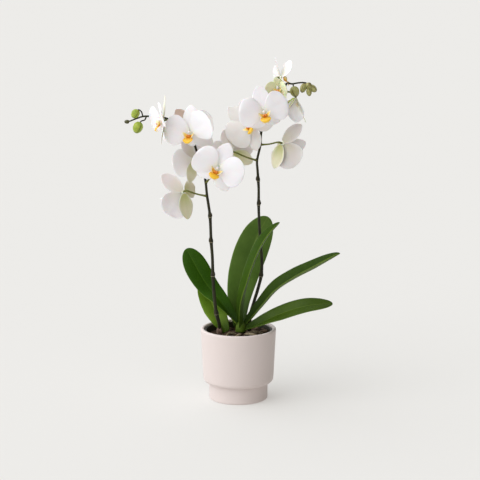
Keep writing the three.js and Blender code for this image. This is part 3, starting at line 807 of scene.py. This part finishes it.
def pedicel_skin():
    return skin("olive flower stalk", (0.10, 0.12, 0.016),
                [((0.16, 0.17, 0.035), 0.7, 110, 4, 0.2), ((0.13, 0.09, 0.035), 0.3, 500, 3, 0.1)],
                [(0.15, 350, 3, 0.3)])


def bract_paper():
    return skin("dark bract", (0.024, 0.019, 0.009), [((0.060, 0.048, 0.022), 0.6, 200, 4, 0.2)],
                [(0.4, 300, 3, 0.3, (3, 3, 0.4))], 0.65, 0.15)


def scar_ring():
    return skin("pale joint ring", (0.30, 0.27, 0.18), [((0.14, 0.12, 0.06), 0.6, 300, 4, 0.2)],
                (), 0.7, 0.15)


def husk_paper():
    return skin("pinkish-brown husk", (0.10, 0.060, 0.042),
                [((0.24, 0.16, 0.12), 0.8, 160, 4, 0.2, (4, 4, 0.5))],
                [(0.6, 260, 3, 0.3, (4, 4, 0.3))], 0.85, 0.1)


def fleshy(weight, depth=0.001):
    """What lets light into a petal, a lip or a bud, as deep as depth in metres."""
    return dict(Subsurface_Weight=weight, Subsurface_Scale=depth)


def bud_skin(name, colour, light, seam):
    """The map of a bud runs across from its seams and along to its point."""
    f = Finish(name, colour, 0.42, **fleshy(0.1, 0.002), Specular_IOR_Level=0.3)
    f.tint(f.patches(110, 4, 0.2), light, 0.7)
    lines = f.veins(5, 0.1, 0.3, 0.28, 0.02)
    f.tint(lines["Mask"], seam, 0.2)
    f.tint(lines["Middle"], seam, 0.85)
    f.tint(ranged(f.tree, lines["Along"], 0.82, 1.0), seam, 0.6)
    f.raise_by(f.patches(420, 3, 0.3), 0.1)
    return f.done()


def petal_face(name, colour, shade, throat):
    f = Finish(name, colour, 0.6, **fleshy(0.15, 0.0015), Specular_IOR_Level=0.3)
    lines = f.veins(11, 0.16, 0.22, 0.05, 0.04)
    f.tint(f.patches(55, 4, 0.3), shade, 0.5)
    f.tint(lines["Mask"], shade, 0.14)
    f.tint(ranged(f.tree, lines["Along"], 0.22, 0.02), throat, 0.5)
    f.raise_by(lines["Mask"], 0.018)
    f.raise_by(f.patches(160, 3, 0.3), 0.08)
    return f.done()


def petal_reverse(name, root, tip, shade, rim):
    """The back of a tepal: its colour changes from its root to its tip and is lighter at its rim, partly its
    own paler margin and partly a painted highlight.
    """
    f = Finish(name, root, 0.65, **fleshy(0.12, 0.0015), Specular_IOR_Level=0.25)
    lines = f.veins(11, 0.16, 0.24, 0.10, 0.45)
    f.tint(ranged(f.tree, lines["Along"], 0.05, 0.75), tip)
    # partly the tepal's paler margin, partly a painted highlight along its edges
    f.tint(lines["Rim"], rim, 0.7)
    f.tint(f.patches(45, 4, 0.3), shade, 0.5)
    f.tint(lines["Mask"], shade, 0.14)
    f.raise_by(lines["Mask"], 0.022)
    f.raise_by(f.patches(160, 3, 0.3), 0.08)
    return f.done()


WHITE, WHITE_SHADE, THROAT = (0.90, 0.88, 0.90), (0.84, 0.81, 0.84), (0.80, 0.82, 0.62)

# face: its colour, its shade and the throat's colour. back: at its root and tip, its shade and rim, the rim
# partly a paler margin and partly a painted highlight.
TEPAL_LOOKS = {
    "petal": (
        (WHITE, WHITE_SHADE, THROAT),
        ((0.80, 0.77, 0.66), (0.88, 0.85, 0.86), (0.80, 0.76, 0.77), (0.91, 0.89, 0.90)),
    ),
    "top": (
        (WHITE, WHITE_SHADE, THROAT),
        ((0.74, 0.70, 0.56), (0.82, 0.76, 0.75), (0.72, 0.65, 0.63), (0.88, 0.85, 0.84)),
    ),
    "tan": (
        (WHITE, WHITE_SHADE, THROAT),
        ((0.60, 0.50, 0.38), (0.62, 0.47, 0.40), (0.52, 0.38, 0.30), (0.78, 0.70, 0.66)),
    ),
    # painted shade: the usual white and green tepals made darker and warmer, for blooms turned away from the
    # light
    "shaded": (
        ((0.80, 0.775, 0.76), (0.73, 0.69, 0.68), (0.66, 0.66, 0.44)),
        ((0.56, 0.53, 0.40), (0.63, 0.59, 0.57), (0.54, 0.49, 0.46), (0.72, 0.69, 0.68)),
    ),
    "side": (
        (WHITE, (0.84, 0.81, 0.79), THROAT),
        ((0.50, 0.53, 0.20), (0.78, 0.75, 0.56), (0.62, 0.58, 0.36), (0.88, 0.86, 0.76)),
    ),
    "green": (
        ((0.84, 0.83, 0.70), (0.78, 0.77, 0.58), (0.60, 0.66, 0.26)),
        ((0.44, 0.54, 0.10), (0.60, 0.62, 0.26), (0.50, 0.46, 0.22), (0.82, 0.80, 0.62)),
    ),
    "young": (
        ((0.80, 0.82, 0.58), (0.72, 0.75, 0.44), (0.52, 0.60, 0.20)),
        ((0.44, 0.54, 0.14), (0.58, 0.64, 0.24), (0.46, 0.52, 0.14), (0.80, 0.80, 0.56)),
    ),
}


def tepal_finishes():
    return {
        look: (petal_face(f"{look} tepal", *face), petal_reverse(f"{look} tepal reverse", *back))
        for look, (face, back) in TEPAL_LOOKS.items()
    }


def lip_yellow():
    f = Finish("yellow lip", (0.90, 0.55, 0.030), 0.42, **fleshy(0.1))
    lines = f.veins(5, 0.3, 0.3, 0.10, 0.10)
    f.tint(ranged(f.tree, lines["Along"], 0.50, 0.05), (0.62, 0.16, 0.012), 0.8)
    f.tint(lines["Mask"], (0.60, 0.18, 0.01), 0.25)
    f.tint(ranged(f.tree, lines["Along"], 0.78, 1.0), (0.90, 0.78, 0.35), 0.7)
    f.raise_by(f.patches(500, 3, 0.3), 0.12)
    return f.done()


def lip_side():
    """Yellow side lobes, streaked red where they join and paler towards their ends and rims."""
    f = Finish("yellow side lobe", (0.88, 0.62, 0.09), 0.5, **fleshy(0.15))
    lines = f.veins(4, 0.3, 0.35, 0.3, 0.25)
    way = maths(f.tree, "ABSOLUTE", maths(f.tree, "SUBTRACT", lines["Along"], 0.5))
    f.tint(ranged(f.tree, way, 0.30, 0.48), (0.88, 0.80, 0.56), 0.8)
    f.tint(lines["Rim"], (0.90, 0.82, 0.62), 0.5)
    streaks = maths(f.tree, "MULTIPLY", lines["Mask"], ranged(f.tree, way, 0.32, 0.12))
    f.tint(streaks, (0.55, 0.10, 0.012), 0.8)
    return f.done()


def tendril_white():
    return mottled("pale lip tendril", (0.84, 0.78, 0.58), 0.5, [((0.82, 0.60, 0.20), 0.3, 400, 2, 0.1)],
                   **fleshy(0.1))


def lip_callus():
    return mottled("orange-red callus", (0.62, 0.13, 0.012), 0.35, [((0.82, 0.36, 0.02), 0.7, 500, 3, 0.15)])


def column_white():
    return mottled("pinkish-white column", (0.86, 0.81, 0.82), 0.4, [((0.80, 0.70, 0.74), 0.5, 260, 3, 0.2)],
                   **fleshy(0.15))


def throat_green():
    return mottled("pale green throat", (0.80, 0.82, 0.62), 0.5, [((0.86, 0.85, 0.76), 0.6, 300, 3, 0.2)],
                   **fleshy(0.15))


def floor_paper():
    return mottled("pale studio floor", (0.42, 0.41, 0.40), 1.0, [((0.425, 0.415, 0.405), 0.5, 3, 2, 0.4)],
                   Specular_IOR_Level=0.0, Emission_Color=(1.0, 0.98, 0.94, 1), Emission_Strength=0.37)


# --- pots


def make_pot():
    lip = POT_RADIUS - POT_WALL / 2
    inner_top = POT_RADIUS - POT_WALL
    profile = rounded([
        (FLAT_MIDDLE, 0, 0), (FOOT_RADIUS, 0, 2.6), (FOOT_RADIUS, FOOT_HEIGHT + 1, 1.4),
        (SHOULDER_RADIUS - 0.8, FOOT_HEIGHT + 1.8, 8), (SHOULDER_RADIUS + 0.1, SHOULDER_HEIGHT + 4, 10),
        (POT_RADIUS, POT_HEIGHT - 5, 3), (POT_RADIUS, POT_HEIGHT, 2.7), (lip, POT_HEIGHT, 0),
        (inner_top, POT_HEIGHT, 2.4), (inner_top - 0.2, POT_HEIGHT - 6, 2),
        (SHOULDER_RADIUS - POT_WALL, SHOULDER_HEIGHT + 4, 6),
        (FOOT_RADIUS - POT_WALL, FOOT_HEIGHT, 6), (FOOT_RADIUS - POT_WALL, POT_FLOOR, 3),
        (FLAT_MIDDLE, POT_FLOOR, 0),
    ], 5)
    pot = turned("ceramic_pot", profile, 128)
    paint(pot, glaze())
    smooth(pot, 50)
    dress(pot, "pot", "pot")


def liner_radius(z):
    return lerp(LINER_FOOT_RADIUS, LINER_TOP_RADIUS, (z - LINER_BOTTOM) / (LINER_TOP - LINER_BOTTOM))


def make_liner():
    rim, top = LINER_TOP - LINER_RIM_DEPTH, LINER_TOP_RADIUS + LINER_LEDGE
    floor = LINER_BOTTOM + LINER_WALL
    profile = rounded([
        (FLAT_MIDDLE, LINER_BOTTOM, 0), (LINER_FOOT_RADIUS, LINER_BOTTOM, 1.5), (liner_radius(rim), rim, 0.4),
        (liner_radius(rim) + LINER_LEDGE, rim + 0.4, 0.4), (top, LINER_TOP, 0.7),
        (liner_radius(LINER_TOP) - LINER_WALL, LINER_TOP, 0.6),
        (liner_radius(floor) - LINER_WALL, floor, 2), (FLAT_MIDDLE, floor, 0),
    ], 3)
    liner = turned("growers_pot", profile, 112)
    paint(liner, grower_plastic())
    smooth(liner, 50)
    dress(liner, "liner", "nursery_pot")


# --- bark and roots

CHIPS = 150
CHIP_FORMS = 5
CHIP_LENGTH, CHIP_WIDTH, CHIP_DEPTH = (11, 21), (8, 13), (4, 7)
CHIP_TILT = 28  # degrees from lying flat, at most
DARK_CHIPS = 0.62  # the share that is dark
BARK_REACH = 56  # how far from the middle the chips lie
GOLDEN_ANGLE = 2.39996  # from each chip to the next, in radians, which spreads them evenly


def chip_form(random_source):
    """A split piece of bark about 1 across, with broken edges."""
    deselect_all()
    bpy.ops.mesh.primitive_cube_add(size=1)
    chip = bpy.context.object
    bpy.ops.object.mode_set(mode="EDIT")
    bpy.ops.mesh.select_all(action="SELECT")
    bpy.ops.mesh.subdivide(number_cuts=1)
    bpy.ops.object.mode_set(mode="OBJECT")
    for vertex in chip.data.vertices:
        vertex.co *= random_source.uniform(0.78, 1.18)
        vertex.co += Vector(random_source.uniform(-0.09, 0.09) for _ in range(3))
    apply_modifier(chip, "BEVEL", width=0.07, segments=1)
    return chip


def make_bark():
    source = random.Random(11)
    forms = [chip_form(source) for _ in range(CHIP_FORMS)]
    wall = liner_radius(BARK_LEVEL - 2) - LINER_WALL - 0.6
    foot, top = POT_FLOOR + 3, BARK_LEVEL - 3
    profile = [(FLAT_MIDDLE, foot), (40, foot), (wall, top - 1), (wall - 12, top), (FLAT_MIDDLE, top)]
    bed = turned("bark_bed", profile, 48)
    paints = (
        bark_wood("dark bark", (0.024, 0.014, 0.008), (0.060, 0.034, 0.018)),
        bark_wood("brown bark", (0.070, 0.040, 0.022), (0.190, 0.125, 0.080)),
    )
    paint(bed, *paints)
    pieces = [bed]
    for i in range(CHIPS):
        chip = copy_of(source.choice(forms))
        paint(chip, paints[0 if source.random() < DARK_CHIPS else 1])
        size = Vector(source.uniform(*limits) for limits in (CHIP_LENGTH, CHIP_WIDTH, CHIP_DEPTH))
        reach = min(math.sqrt((i + 0.5) / CHIPS) * BARK_REACH, wall - 0.42 * size.x)
        angle = i * GOLDEN_ANGLE + source.uniform(-0.2, 0.2)
        x, y = reach * math.cos(angle), reach * math.sin(angle)
        z = BARK_LEVEL + BARK_RISE * x / LINER_TOP_RADIUS + source.uniform(-3.0, 3.2)
        turn = Matrix.Rotation(source.uniform(0, math.pi), 4, "Z")
        for axis in "YX":
            turn = turn @ Matrix.Rotation(math.radians(source.uniform(-CHIP_TILT, CHIP_TILT)), 4, axis)
        place = Matrix.Translation(Vector((x, y, z)) * MM)
        chip.data.transform(place @ turn @ Matrix.Diagonal((*(size * MM), 1)))
        pieces.append(chip)
    for form in forms:
        bpy.data.objects.remove(form)
    bark = joined("bark_chips", pieces)
    smooth(bark, 32)
    dress(bark, "bark", "bark")


def make_roots():
    source = random.Random(5)
    velvet = root_velvet()
    pieces = [paint(ball("rootstock", ROOTSTOCK, ROOTSTOCK_RADII, (0, 0, 1)), velvet)]
    for points in ROOTS:
        bend = source.uniform(0, 6)

        def girth(t, bend=bend):
            return ROOT_RADIUS + 0.25 * math.sin(9 * t + bend) + 0.12 * math.sin(31 * t)

        pieces.append(paint(stalk("root", Curve([ROOTSTOCK, *points]), 40, girth, 3), velvet))
    dress(joined("aerial_roots", pieces), "root", "roots")


# --- leaves and crown

LEAF_THICKNESS = 1.9


def leaf_place(leaf, source):
    curve = Curve(leaf["spine"])
    shape = dict(widest=leaf["widest"], base=0.4, base_curve=1.4, tip_curve=2.3, point=0.5)
    face_at_base, face_at_tip = (Vector(way) for way in leaf["face"])
    low, high = leaf["fold"]
    phase = source.uniform(0, 6.28)

    def place(t, s):
        along = curve.tangent(t)
        normal = square_to(along, face_at_base.lerp(face_at_tip, t))
        across = along.cross(normal)
        half = leaf["width"] / 2 * blade_width(t, **shape)
        rise = math.radians(lerp(low, high, clamp01(t / 0.45)))
        trough = math.sqrt(s * s + 0.006) - 0.0775  # the fold, softly rounded at the midrib
        ripple = 0.035 * math.sin(7 * t + phase + (1.1 if s > 0 else 0)) * s * s
        droop = 0.07 * s**4
        lift = half * (trough * math.sin(rise) + ripple - droop) - 0.55 * hump(s, 0, 0.09)
        return curve.at(t) + across * (s * half * math.cos(rise)) + normal * lift

    return place


def make_leaves():
    finishes = leaf_finishes()
    source = random.Random(3)
    for name, leaf in LEAVES.items():
        piece = blade(f"orchid_{name}", 14, 40, leaf_place(leaf, source), LEAF_THICKNESS, 1)
        paint(piece, *finishes[leaf["look"]])
        dress(piece, "leaf", f"leaf_{name}")


def make_crown():
    """The stump that the leaves sheathe, ribbed by the sheaths wrapped round it."""
    foot, top = CROWN["foot"], CROWN["top"]
    profile = [(2, foot), (9, foot), (9.4, foot + 3), (8.5, 132), (4, top), (1, top + 0.4)]
    crown = turned("leaf_crown", profile, 48)
    refine(crown, 1)
    for vertex in crown.data.vertices:
        angle = math.atan2(vertex.co.y, vertex.co.x)
        vertex.co.x *= 1 + 0.05 * math.cos(2 * angle) + 0.04 * math.cos(7 * angle)
        vertex.co.y *= 0.94 + 0.04 * math.cos(5 * angle)
    crown.data.transform(Matrix.Translation(Vector((CROWN["x"], CROWN["y"], 0)) * MM))
    paint(crown, sheath_green())
    smooth(crown, 60)
    dress(crown, "crown", "crown")


# --- spikes and buds


def bloom_axes(bloom):
    """The bloom's own axes: X to the right, looking into it, Y up through its top sepal and Z out of
    its face."""
    turn, tip = (math.radians(a) for a in bloom["facing"])
    z = Vector((math.sin(turn) * math.cos(tip), -math.cos(turn) * math.cos(tip), math.sin(tip)))
    y = Matrix.Rotation(math.radians(bloom["roll"]), 3, z) @ square_to(z, Vector((0, 0, 1)))
    axes = Matrix((y.cross(z), y, z)).transposed().to_4x4()
    axes.translation = bloom["at"]
    return axes


def bract(at, along, outward, length, width, finish):
    """A small pointed scale that hugs a joint of the stem."""
    across = along.cross(outward).normalized()

    def place(t, s):
        half = width / 2 * math.sqrt(max(0.0, 1 - t**1.6))
        wrap = s * 1.2
        point = at + along * (length * t - 0.2 * length)
        point += outward * (half * math.cos(wrap) * 1.1 + 0.6 + 0.5 * t * t)
        return point + across * (half * math.sin(wrap))

    piece = blade("bract", 6, 8, place, 0.5, 1)
    return paint(piece, finish, finish)


def spike_radius(t):
    return lerp(SPIKE_BASE_RADIUS, SPIKE_TOP_RADIUS, t)


def pedicel(root, bloom):
    """A flower's stalk, from the stem to the back of the flower, and the way in which it sets out."""
    axes = bloom_axes(bloom)
    behind = axes @ Vector((0, 0, -HUB_BACK - 9 * bloom["size"]))
    end = axes @ Vector((0, 0, -HUB_BACK + 1.2))
    bow = root.lerp(behind, 0.5) - Vector((0, 0, PEDICEL_SAG))

    def girth(t):
        return PEDICEL_RADIUS * (1 + 0.8 * (1 - t) ** 6 + 0.2 * t + 0.35 * t**6)

    return stalk("pedicel", Curve([root, bow, behind, end]), 32, girth, 3), bow - root


def husk_shape(d):
    return Vector((1, 1, 1)) * (1 + 0.10 * math.sin(5 * math.atan2(d.y, d.x)) + 0.05 * d.z)


def make_spike(side, skin, green, paper, pale, husk):
    spike = SPIKES[side]
    curve = Curve(spike["stem"])
    samples = [curve.at(i / 200) for i in range(201)]

    def way_at(height):
        return next(i for i, p in enumerate(samples) if p.z > height) / 200

    joints = [way_at(h) for h in spike["joints"]]

    def radius(t):
        swell = sum(JOINT_SWELL * hump(t, j, 0.007) + 0.35 * hump(t, j - 0.006, 0.02) for j in joints)
        return spike_radius(t) + swell + 0.05 * math.sin(70 * t)

    pieces = [paint(stalk("stem", curve, 240, radius, 5), skin)]
    for k, j in enumerate(joints):
        along = curve.tangent(j)
        outward = square_to(along, Vector((1 if k % 2 else -1, -0.55, 0)))
        pieces.append(bract(curve.at(j), along, outward, *JOINT_BRACT, paper))
        girth = spike_radius(j) + 1.15
        pieces.append(paint(ball("ring", curve.at(j - 0.006), (girth, girth, 1.1), along, 20, 8), pale))
    for name, bloom in BLOOMS.items():
        if name.startswith(side):
            way = way_at(bloom["joint"])
            root, along = curve.at(way), curve.tangent(way)
            made, outward = pedicel(root, bloom)
            pieces.append(paint(made, green))
            pieces.append(bract(root, along, square_to(along, outward), *FLOWER_BRACT, paper))
    if spike["sheath"]:
        way = way_at(spike["sheath"])
        wrap = ball("husk", curve.at(way), HUSK_RADII, curve.tangent(way), 24, 12, husk_shape)
        pieces.append(paint(wrap, husk))
    dress(joined(f"flower_spike_{side}", pieces), "spike", f"spike_{side}")


def bud(form, centre, axis, length, width):
    piece = copy_of(form)
    scale = Matrix.Diagonal((width / 2 * MM, width / 2 * MM, length / 2 * MM, 1))
    piece.data.transform(Matrix.Translation(centre * MM) @ upright_to(axis) @ scale)
    return piece


def bud_form():
    """A closed bud 2 metres across and long, to be scaled, pointed at +Z and with three seams."""

    def shape(d):
        angle = math.atan2(d.y, d.x)
        seam = 1 - 0.09 * abs(math.cos(1.5 * angle)) ** 14 * (1 - d.z * d.z)
        pear = 1 - 0.10 * d.z + 0.04 * math.cos(3 * angle) * (1 - d.z * d.z)
        return Vector((seam * pear, seam * pear, 1))

    form = ball("bud", (0, 0, 0), (1 / MM, 1 / MM, 1 / MM), (0, 0, 1), 36, 20, shape)
    layer = form.data.uv_layers[0]
    for loop in form.data.loops:
        at = form.data.vertices[loop.vertex_index].co
        from_seam = abs(math.sin(1.5 * math.atan2(at.y, at.x)))
        layer.data[loop.index].uv = ((1 + from_seam) / 2, (1 + at.z) / 2)
    return form


def make_buds(side, form, skin, green, knob):
    spike = SPIKES[side]
    stem = Curve(spike["stem"])
    end, along = stem.at(1), stem.tangent(1)
    curve = Curve([end - along * 2, end + along * 4, *spike["tip"]])
    samples = [curve.at(i / 40) for i in range(41)]
    pieces = [paint(stalk("tip", curve, 40, lambda t: lerp(SPIKE_TOP_RADIUS, SPIKE_TIP_RADIUS, t), 3), skin)]
    for made in spike["buds"]:
        centre, axis = Vector(made["at"]), Vector(made["points"]).normalized()
        length = made["length"]
        finish = knob if length < END_BUD_LENGTH else green
        pieces.append(paint(bud(form, centre, axis, length, made["width"]), finish))
        back = centre - axis * length * 0.3
        nearest = min(samples, key=lambda p: (p - back).length)
        way = made.get("stalk") or [nearest, nearest.lerp(back, 0.5) + Vector((0, 0, 0.6))]
        if "stalk" in made or (nearest - back).length > 1:
            bud_stalk = stalk("bud_stalk", Curve([*way, back]), 14, lambda t: BUD_STALK_RADIUS - 0.1 * t, 2)
            pieces.append(paint(bud_stalk, skin))
    dress(joined(f"bud_cluster_{side}", pieces), "bud", f"buds_{side}")


# --- blooms

TEPAL_THICKNESS = 0.8
TENDRIL = [(1.2, -11.6, 12.6), (3.2, -13.2, 11.0), (5.4, -12.0, 9.8), (5.8, -9.6, 10.6)]


def tepal_place(kind, angle, lean, bloom, source):
    """One petal or sepal, in the bloom's own axes, at an angle anticlockwise from X."""
    size = bloom["size"]
    out = Vector((math.cos(math.radians(angle)), math.sin(math.radians(angle)), 0))
    across = Vector((out.y, -out.x, 0))
    front = Vector((0, 0, 1))
    length = kind["length"] * size
    width = kind["width"] * size * bloom.get("breadth", 1)
    start, turn = math.radians(lean), -math.radians(kind["curl"])
    phase, other = source.uniform(0, 6.28), source.uniform(0, 6.28)
    broad = kind is PETAL
    wave = (2.1 if broad else 0.8) * size

    def place(t, s):
        slope = start + turn * t
        along = length * (math.sin(slope) - math.sin(start)) / turn
        ahead = length * (math.cos(start) - math.cos(slope)) / turn
        face = front * math.cos(slope) - out * math.sin(slope)
        half = width / 2 * blade_width(t, **kind)
        ripple = wave * s * s * math.sin(5.5 * t + (phase if s > 0 else other)) * clamp01(2.4 * t)
        crease = (0.9 if broad else 0.6) * size * hump(s, 0, 0.16) * math.sin(math.pi * clamp01(t))
        point = out * (TEPAL_START + along) + front * (ahead + kind["lift"]) + across * (s * half)
        return point + face * (-0.08 * s * s * half + ripple - crease)

    return place


def column_form(white, throat):
    """The column and the swollen middle of a bloom, for a bloom of size 1."""
    path = Curve([(0, 1.6, -1), (0, 2.2, 4), (0, 2.6, COLUMN_LENGTH - 1.5)])
    column = paint(stalk("column", path, 16, lambda t: 2.3 - 0.4 * math.sin(2.6 * t) + 0.1 * t, 4), white)
    cap = paint(ball("cap", (0, 2.4, COLUMN_LENGTH - 1.6), (2.1, 1.7, 1.8), (0, -0.2, 1), 20, 12), white)
    middle = paint(ball("middle", (0, 0, -0.6), (4.0, 4.0, 2.7), (0, 0, 1), 24, 12), throat)
    return joined("column_form", [column, cap, middle])


def lip_form(yellow, side_yellow, pale, callus):
    """The lip, under the column, in the bloom's own axes: the middle lobe with its two tendrils, the
    two side lobes that stand up beside the column, and the callus between them."""

    def middle_place(t, s):
        breadth = 2.2 + 5 * math.sin(math.pi * t**0.7) * (1 - 0.12 * math.sin(9 * t))
        fall = 8.5 * math.sin(2 * t) - 1.6 * s * s
        return Vector((s * breadth, -4.4 - 8.2 * t, 5 + fall - 0.5 * hump(s, 0, 0.15)))

    middle = paint(blade("middle_lobe", 10, 14, middle_place, 0.9, 1), yellow, yellow)

    def side_place(t, s):
        t = 2 * t - 1
        breadth = s * (3.6 - 1.0 * t**4) * math.sqrt(max(0.0, 1 - t**8))
        curl = 0.7 * s * s * abs(t)
        y = -5.2 + 6 * t * t + 0.75 * breadth + curl
        return Vector(((8.4 + 0.25 * breadth) * t, y, 5.8 + 1.6 * t * t - 0.6 * breadth + curl))

    sides = paint(blade("side_lobes", 10, 26, side_place, 0.8, 1), side_yellow, side_yellow)
    bump = [
        paint(ball("callus", (x, -3.2, 7.2), (2.2, 2.1, 2.5), (0.3 * x, 0.4, 1), 16, 10), callus)
        for x in (-1.3, 1.3)
    ]
    tendrils = []
    for side in (-1, 1):
        way = [(side * x, y, z) for x, y, z in TENDRIL]
        tendrils.append(paint(stalk("tendril", Curve(way), 14, lambda t: 0.55 * (1 - 0.6 * t), 2), pale))
    return joined("lip_form", [middle, sides, *bump, *tendrils])


def make_blooms():
    finishes = tepal_finishes()
    column = column_form(column_white(), throat_green())
    lip = lip_form(lip_yellow(), lip_side(), tendril_white(), lip_callus())
    source = random.Random(17)
    for name, bloom in BLOOMS.items():
        axes = bloom_axes(bloom)
        axes.translation *= MM
        pieces = []
        kinds = (SEPAL, PETAL, PETAL, SEPAL, SEPAL)
        top, wings, side = bloom.get("looks", USUAL_LOOKS)
        looks = (top, wings, wings, side, side)
        for kind, angle, lean, look in zip(kinds, bloom.get("angles", EVEN), bloom["lean"], looks):
            place = tepal_place(kind, angle, lean, bloom, source)
            columns, rows = (12, 16) if kind is PETAL else (8, 16)
            tepal = blade("tepal", columns, rows, place, TEPAL_THICKNESS, 1)
            pieces.append(paint(tepal, *finishes[look]))
        girth = math.sqrt(bloom["size"])
        middle = copy_of(column)
        middle.data.transform(Matrix.Scale(girth, 4))
        pieces.append(middle)
        flower = joined(f"flower_{name}", pieces)
        flower.data.transform(axes)
        dress(flower, "petal", f"bloom_{name}")
        tongue = copy_of(lip)
        tongue.name = f"flower_lip_{name}"
        tongue.data.transform(axes @ Matrix.Scale(LIP_SCALE * girth, 4))
        dress(tongue, "lip", f"lip_{name}")
    bpy.data.objects.remove(column)
    bpy.data.objects.remove(lip)


# --- the whole


def make_floor():
    deselect_all()
    bpy.ops.mesh.primitive_plane_add(size=300)
    floor = bpy.context.object
    floor.name = "studio_floor"
    paint(floor, floor_paper())


def main():
    make_floor()
    make_pot()
    make_liner()
    make_bark()
    make_roots()
    make_leaves()
    make_crown()
    skins = spike_skin(), pedicel_skin(), bract_paper(), scar_ring(), husk_paper()
    form = bud_form()
    knob_paint = bud_skin("dark end bud", (0.05, 0.050, 0.016), (0.11, 0.10, 0.035), (0.03, 0.022, 0.008))
    for side, bud_paint in (
        ("left", bud_skin("green bud", (0.25, 0.33, 0.035), (0.42, 0.50, 0.08), (0.06, 0.08, 0.010))),
        ("right", bud_skin("olive-brown bud", (0.25, 0.24, 0.075), (0.48, 0.46, 0.20), (0.09, 0.055, 0.014))),
    ):
        make_spike(side, *skins)
        make_buds(side, form, skins[0], bud_paint, knob_paint)
    bpy.data.objects.remove(form)
    make_blooms()
    add_camera()
    add_dome()
    add_sun("key", (0.60, 0.50, -0.9), 0.65, 45, (1.0, 1.0, 0.99))
    bpy.context.scene.view_settings.view_transform = "Standard"


main()
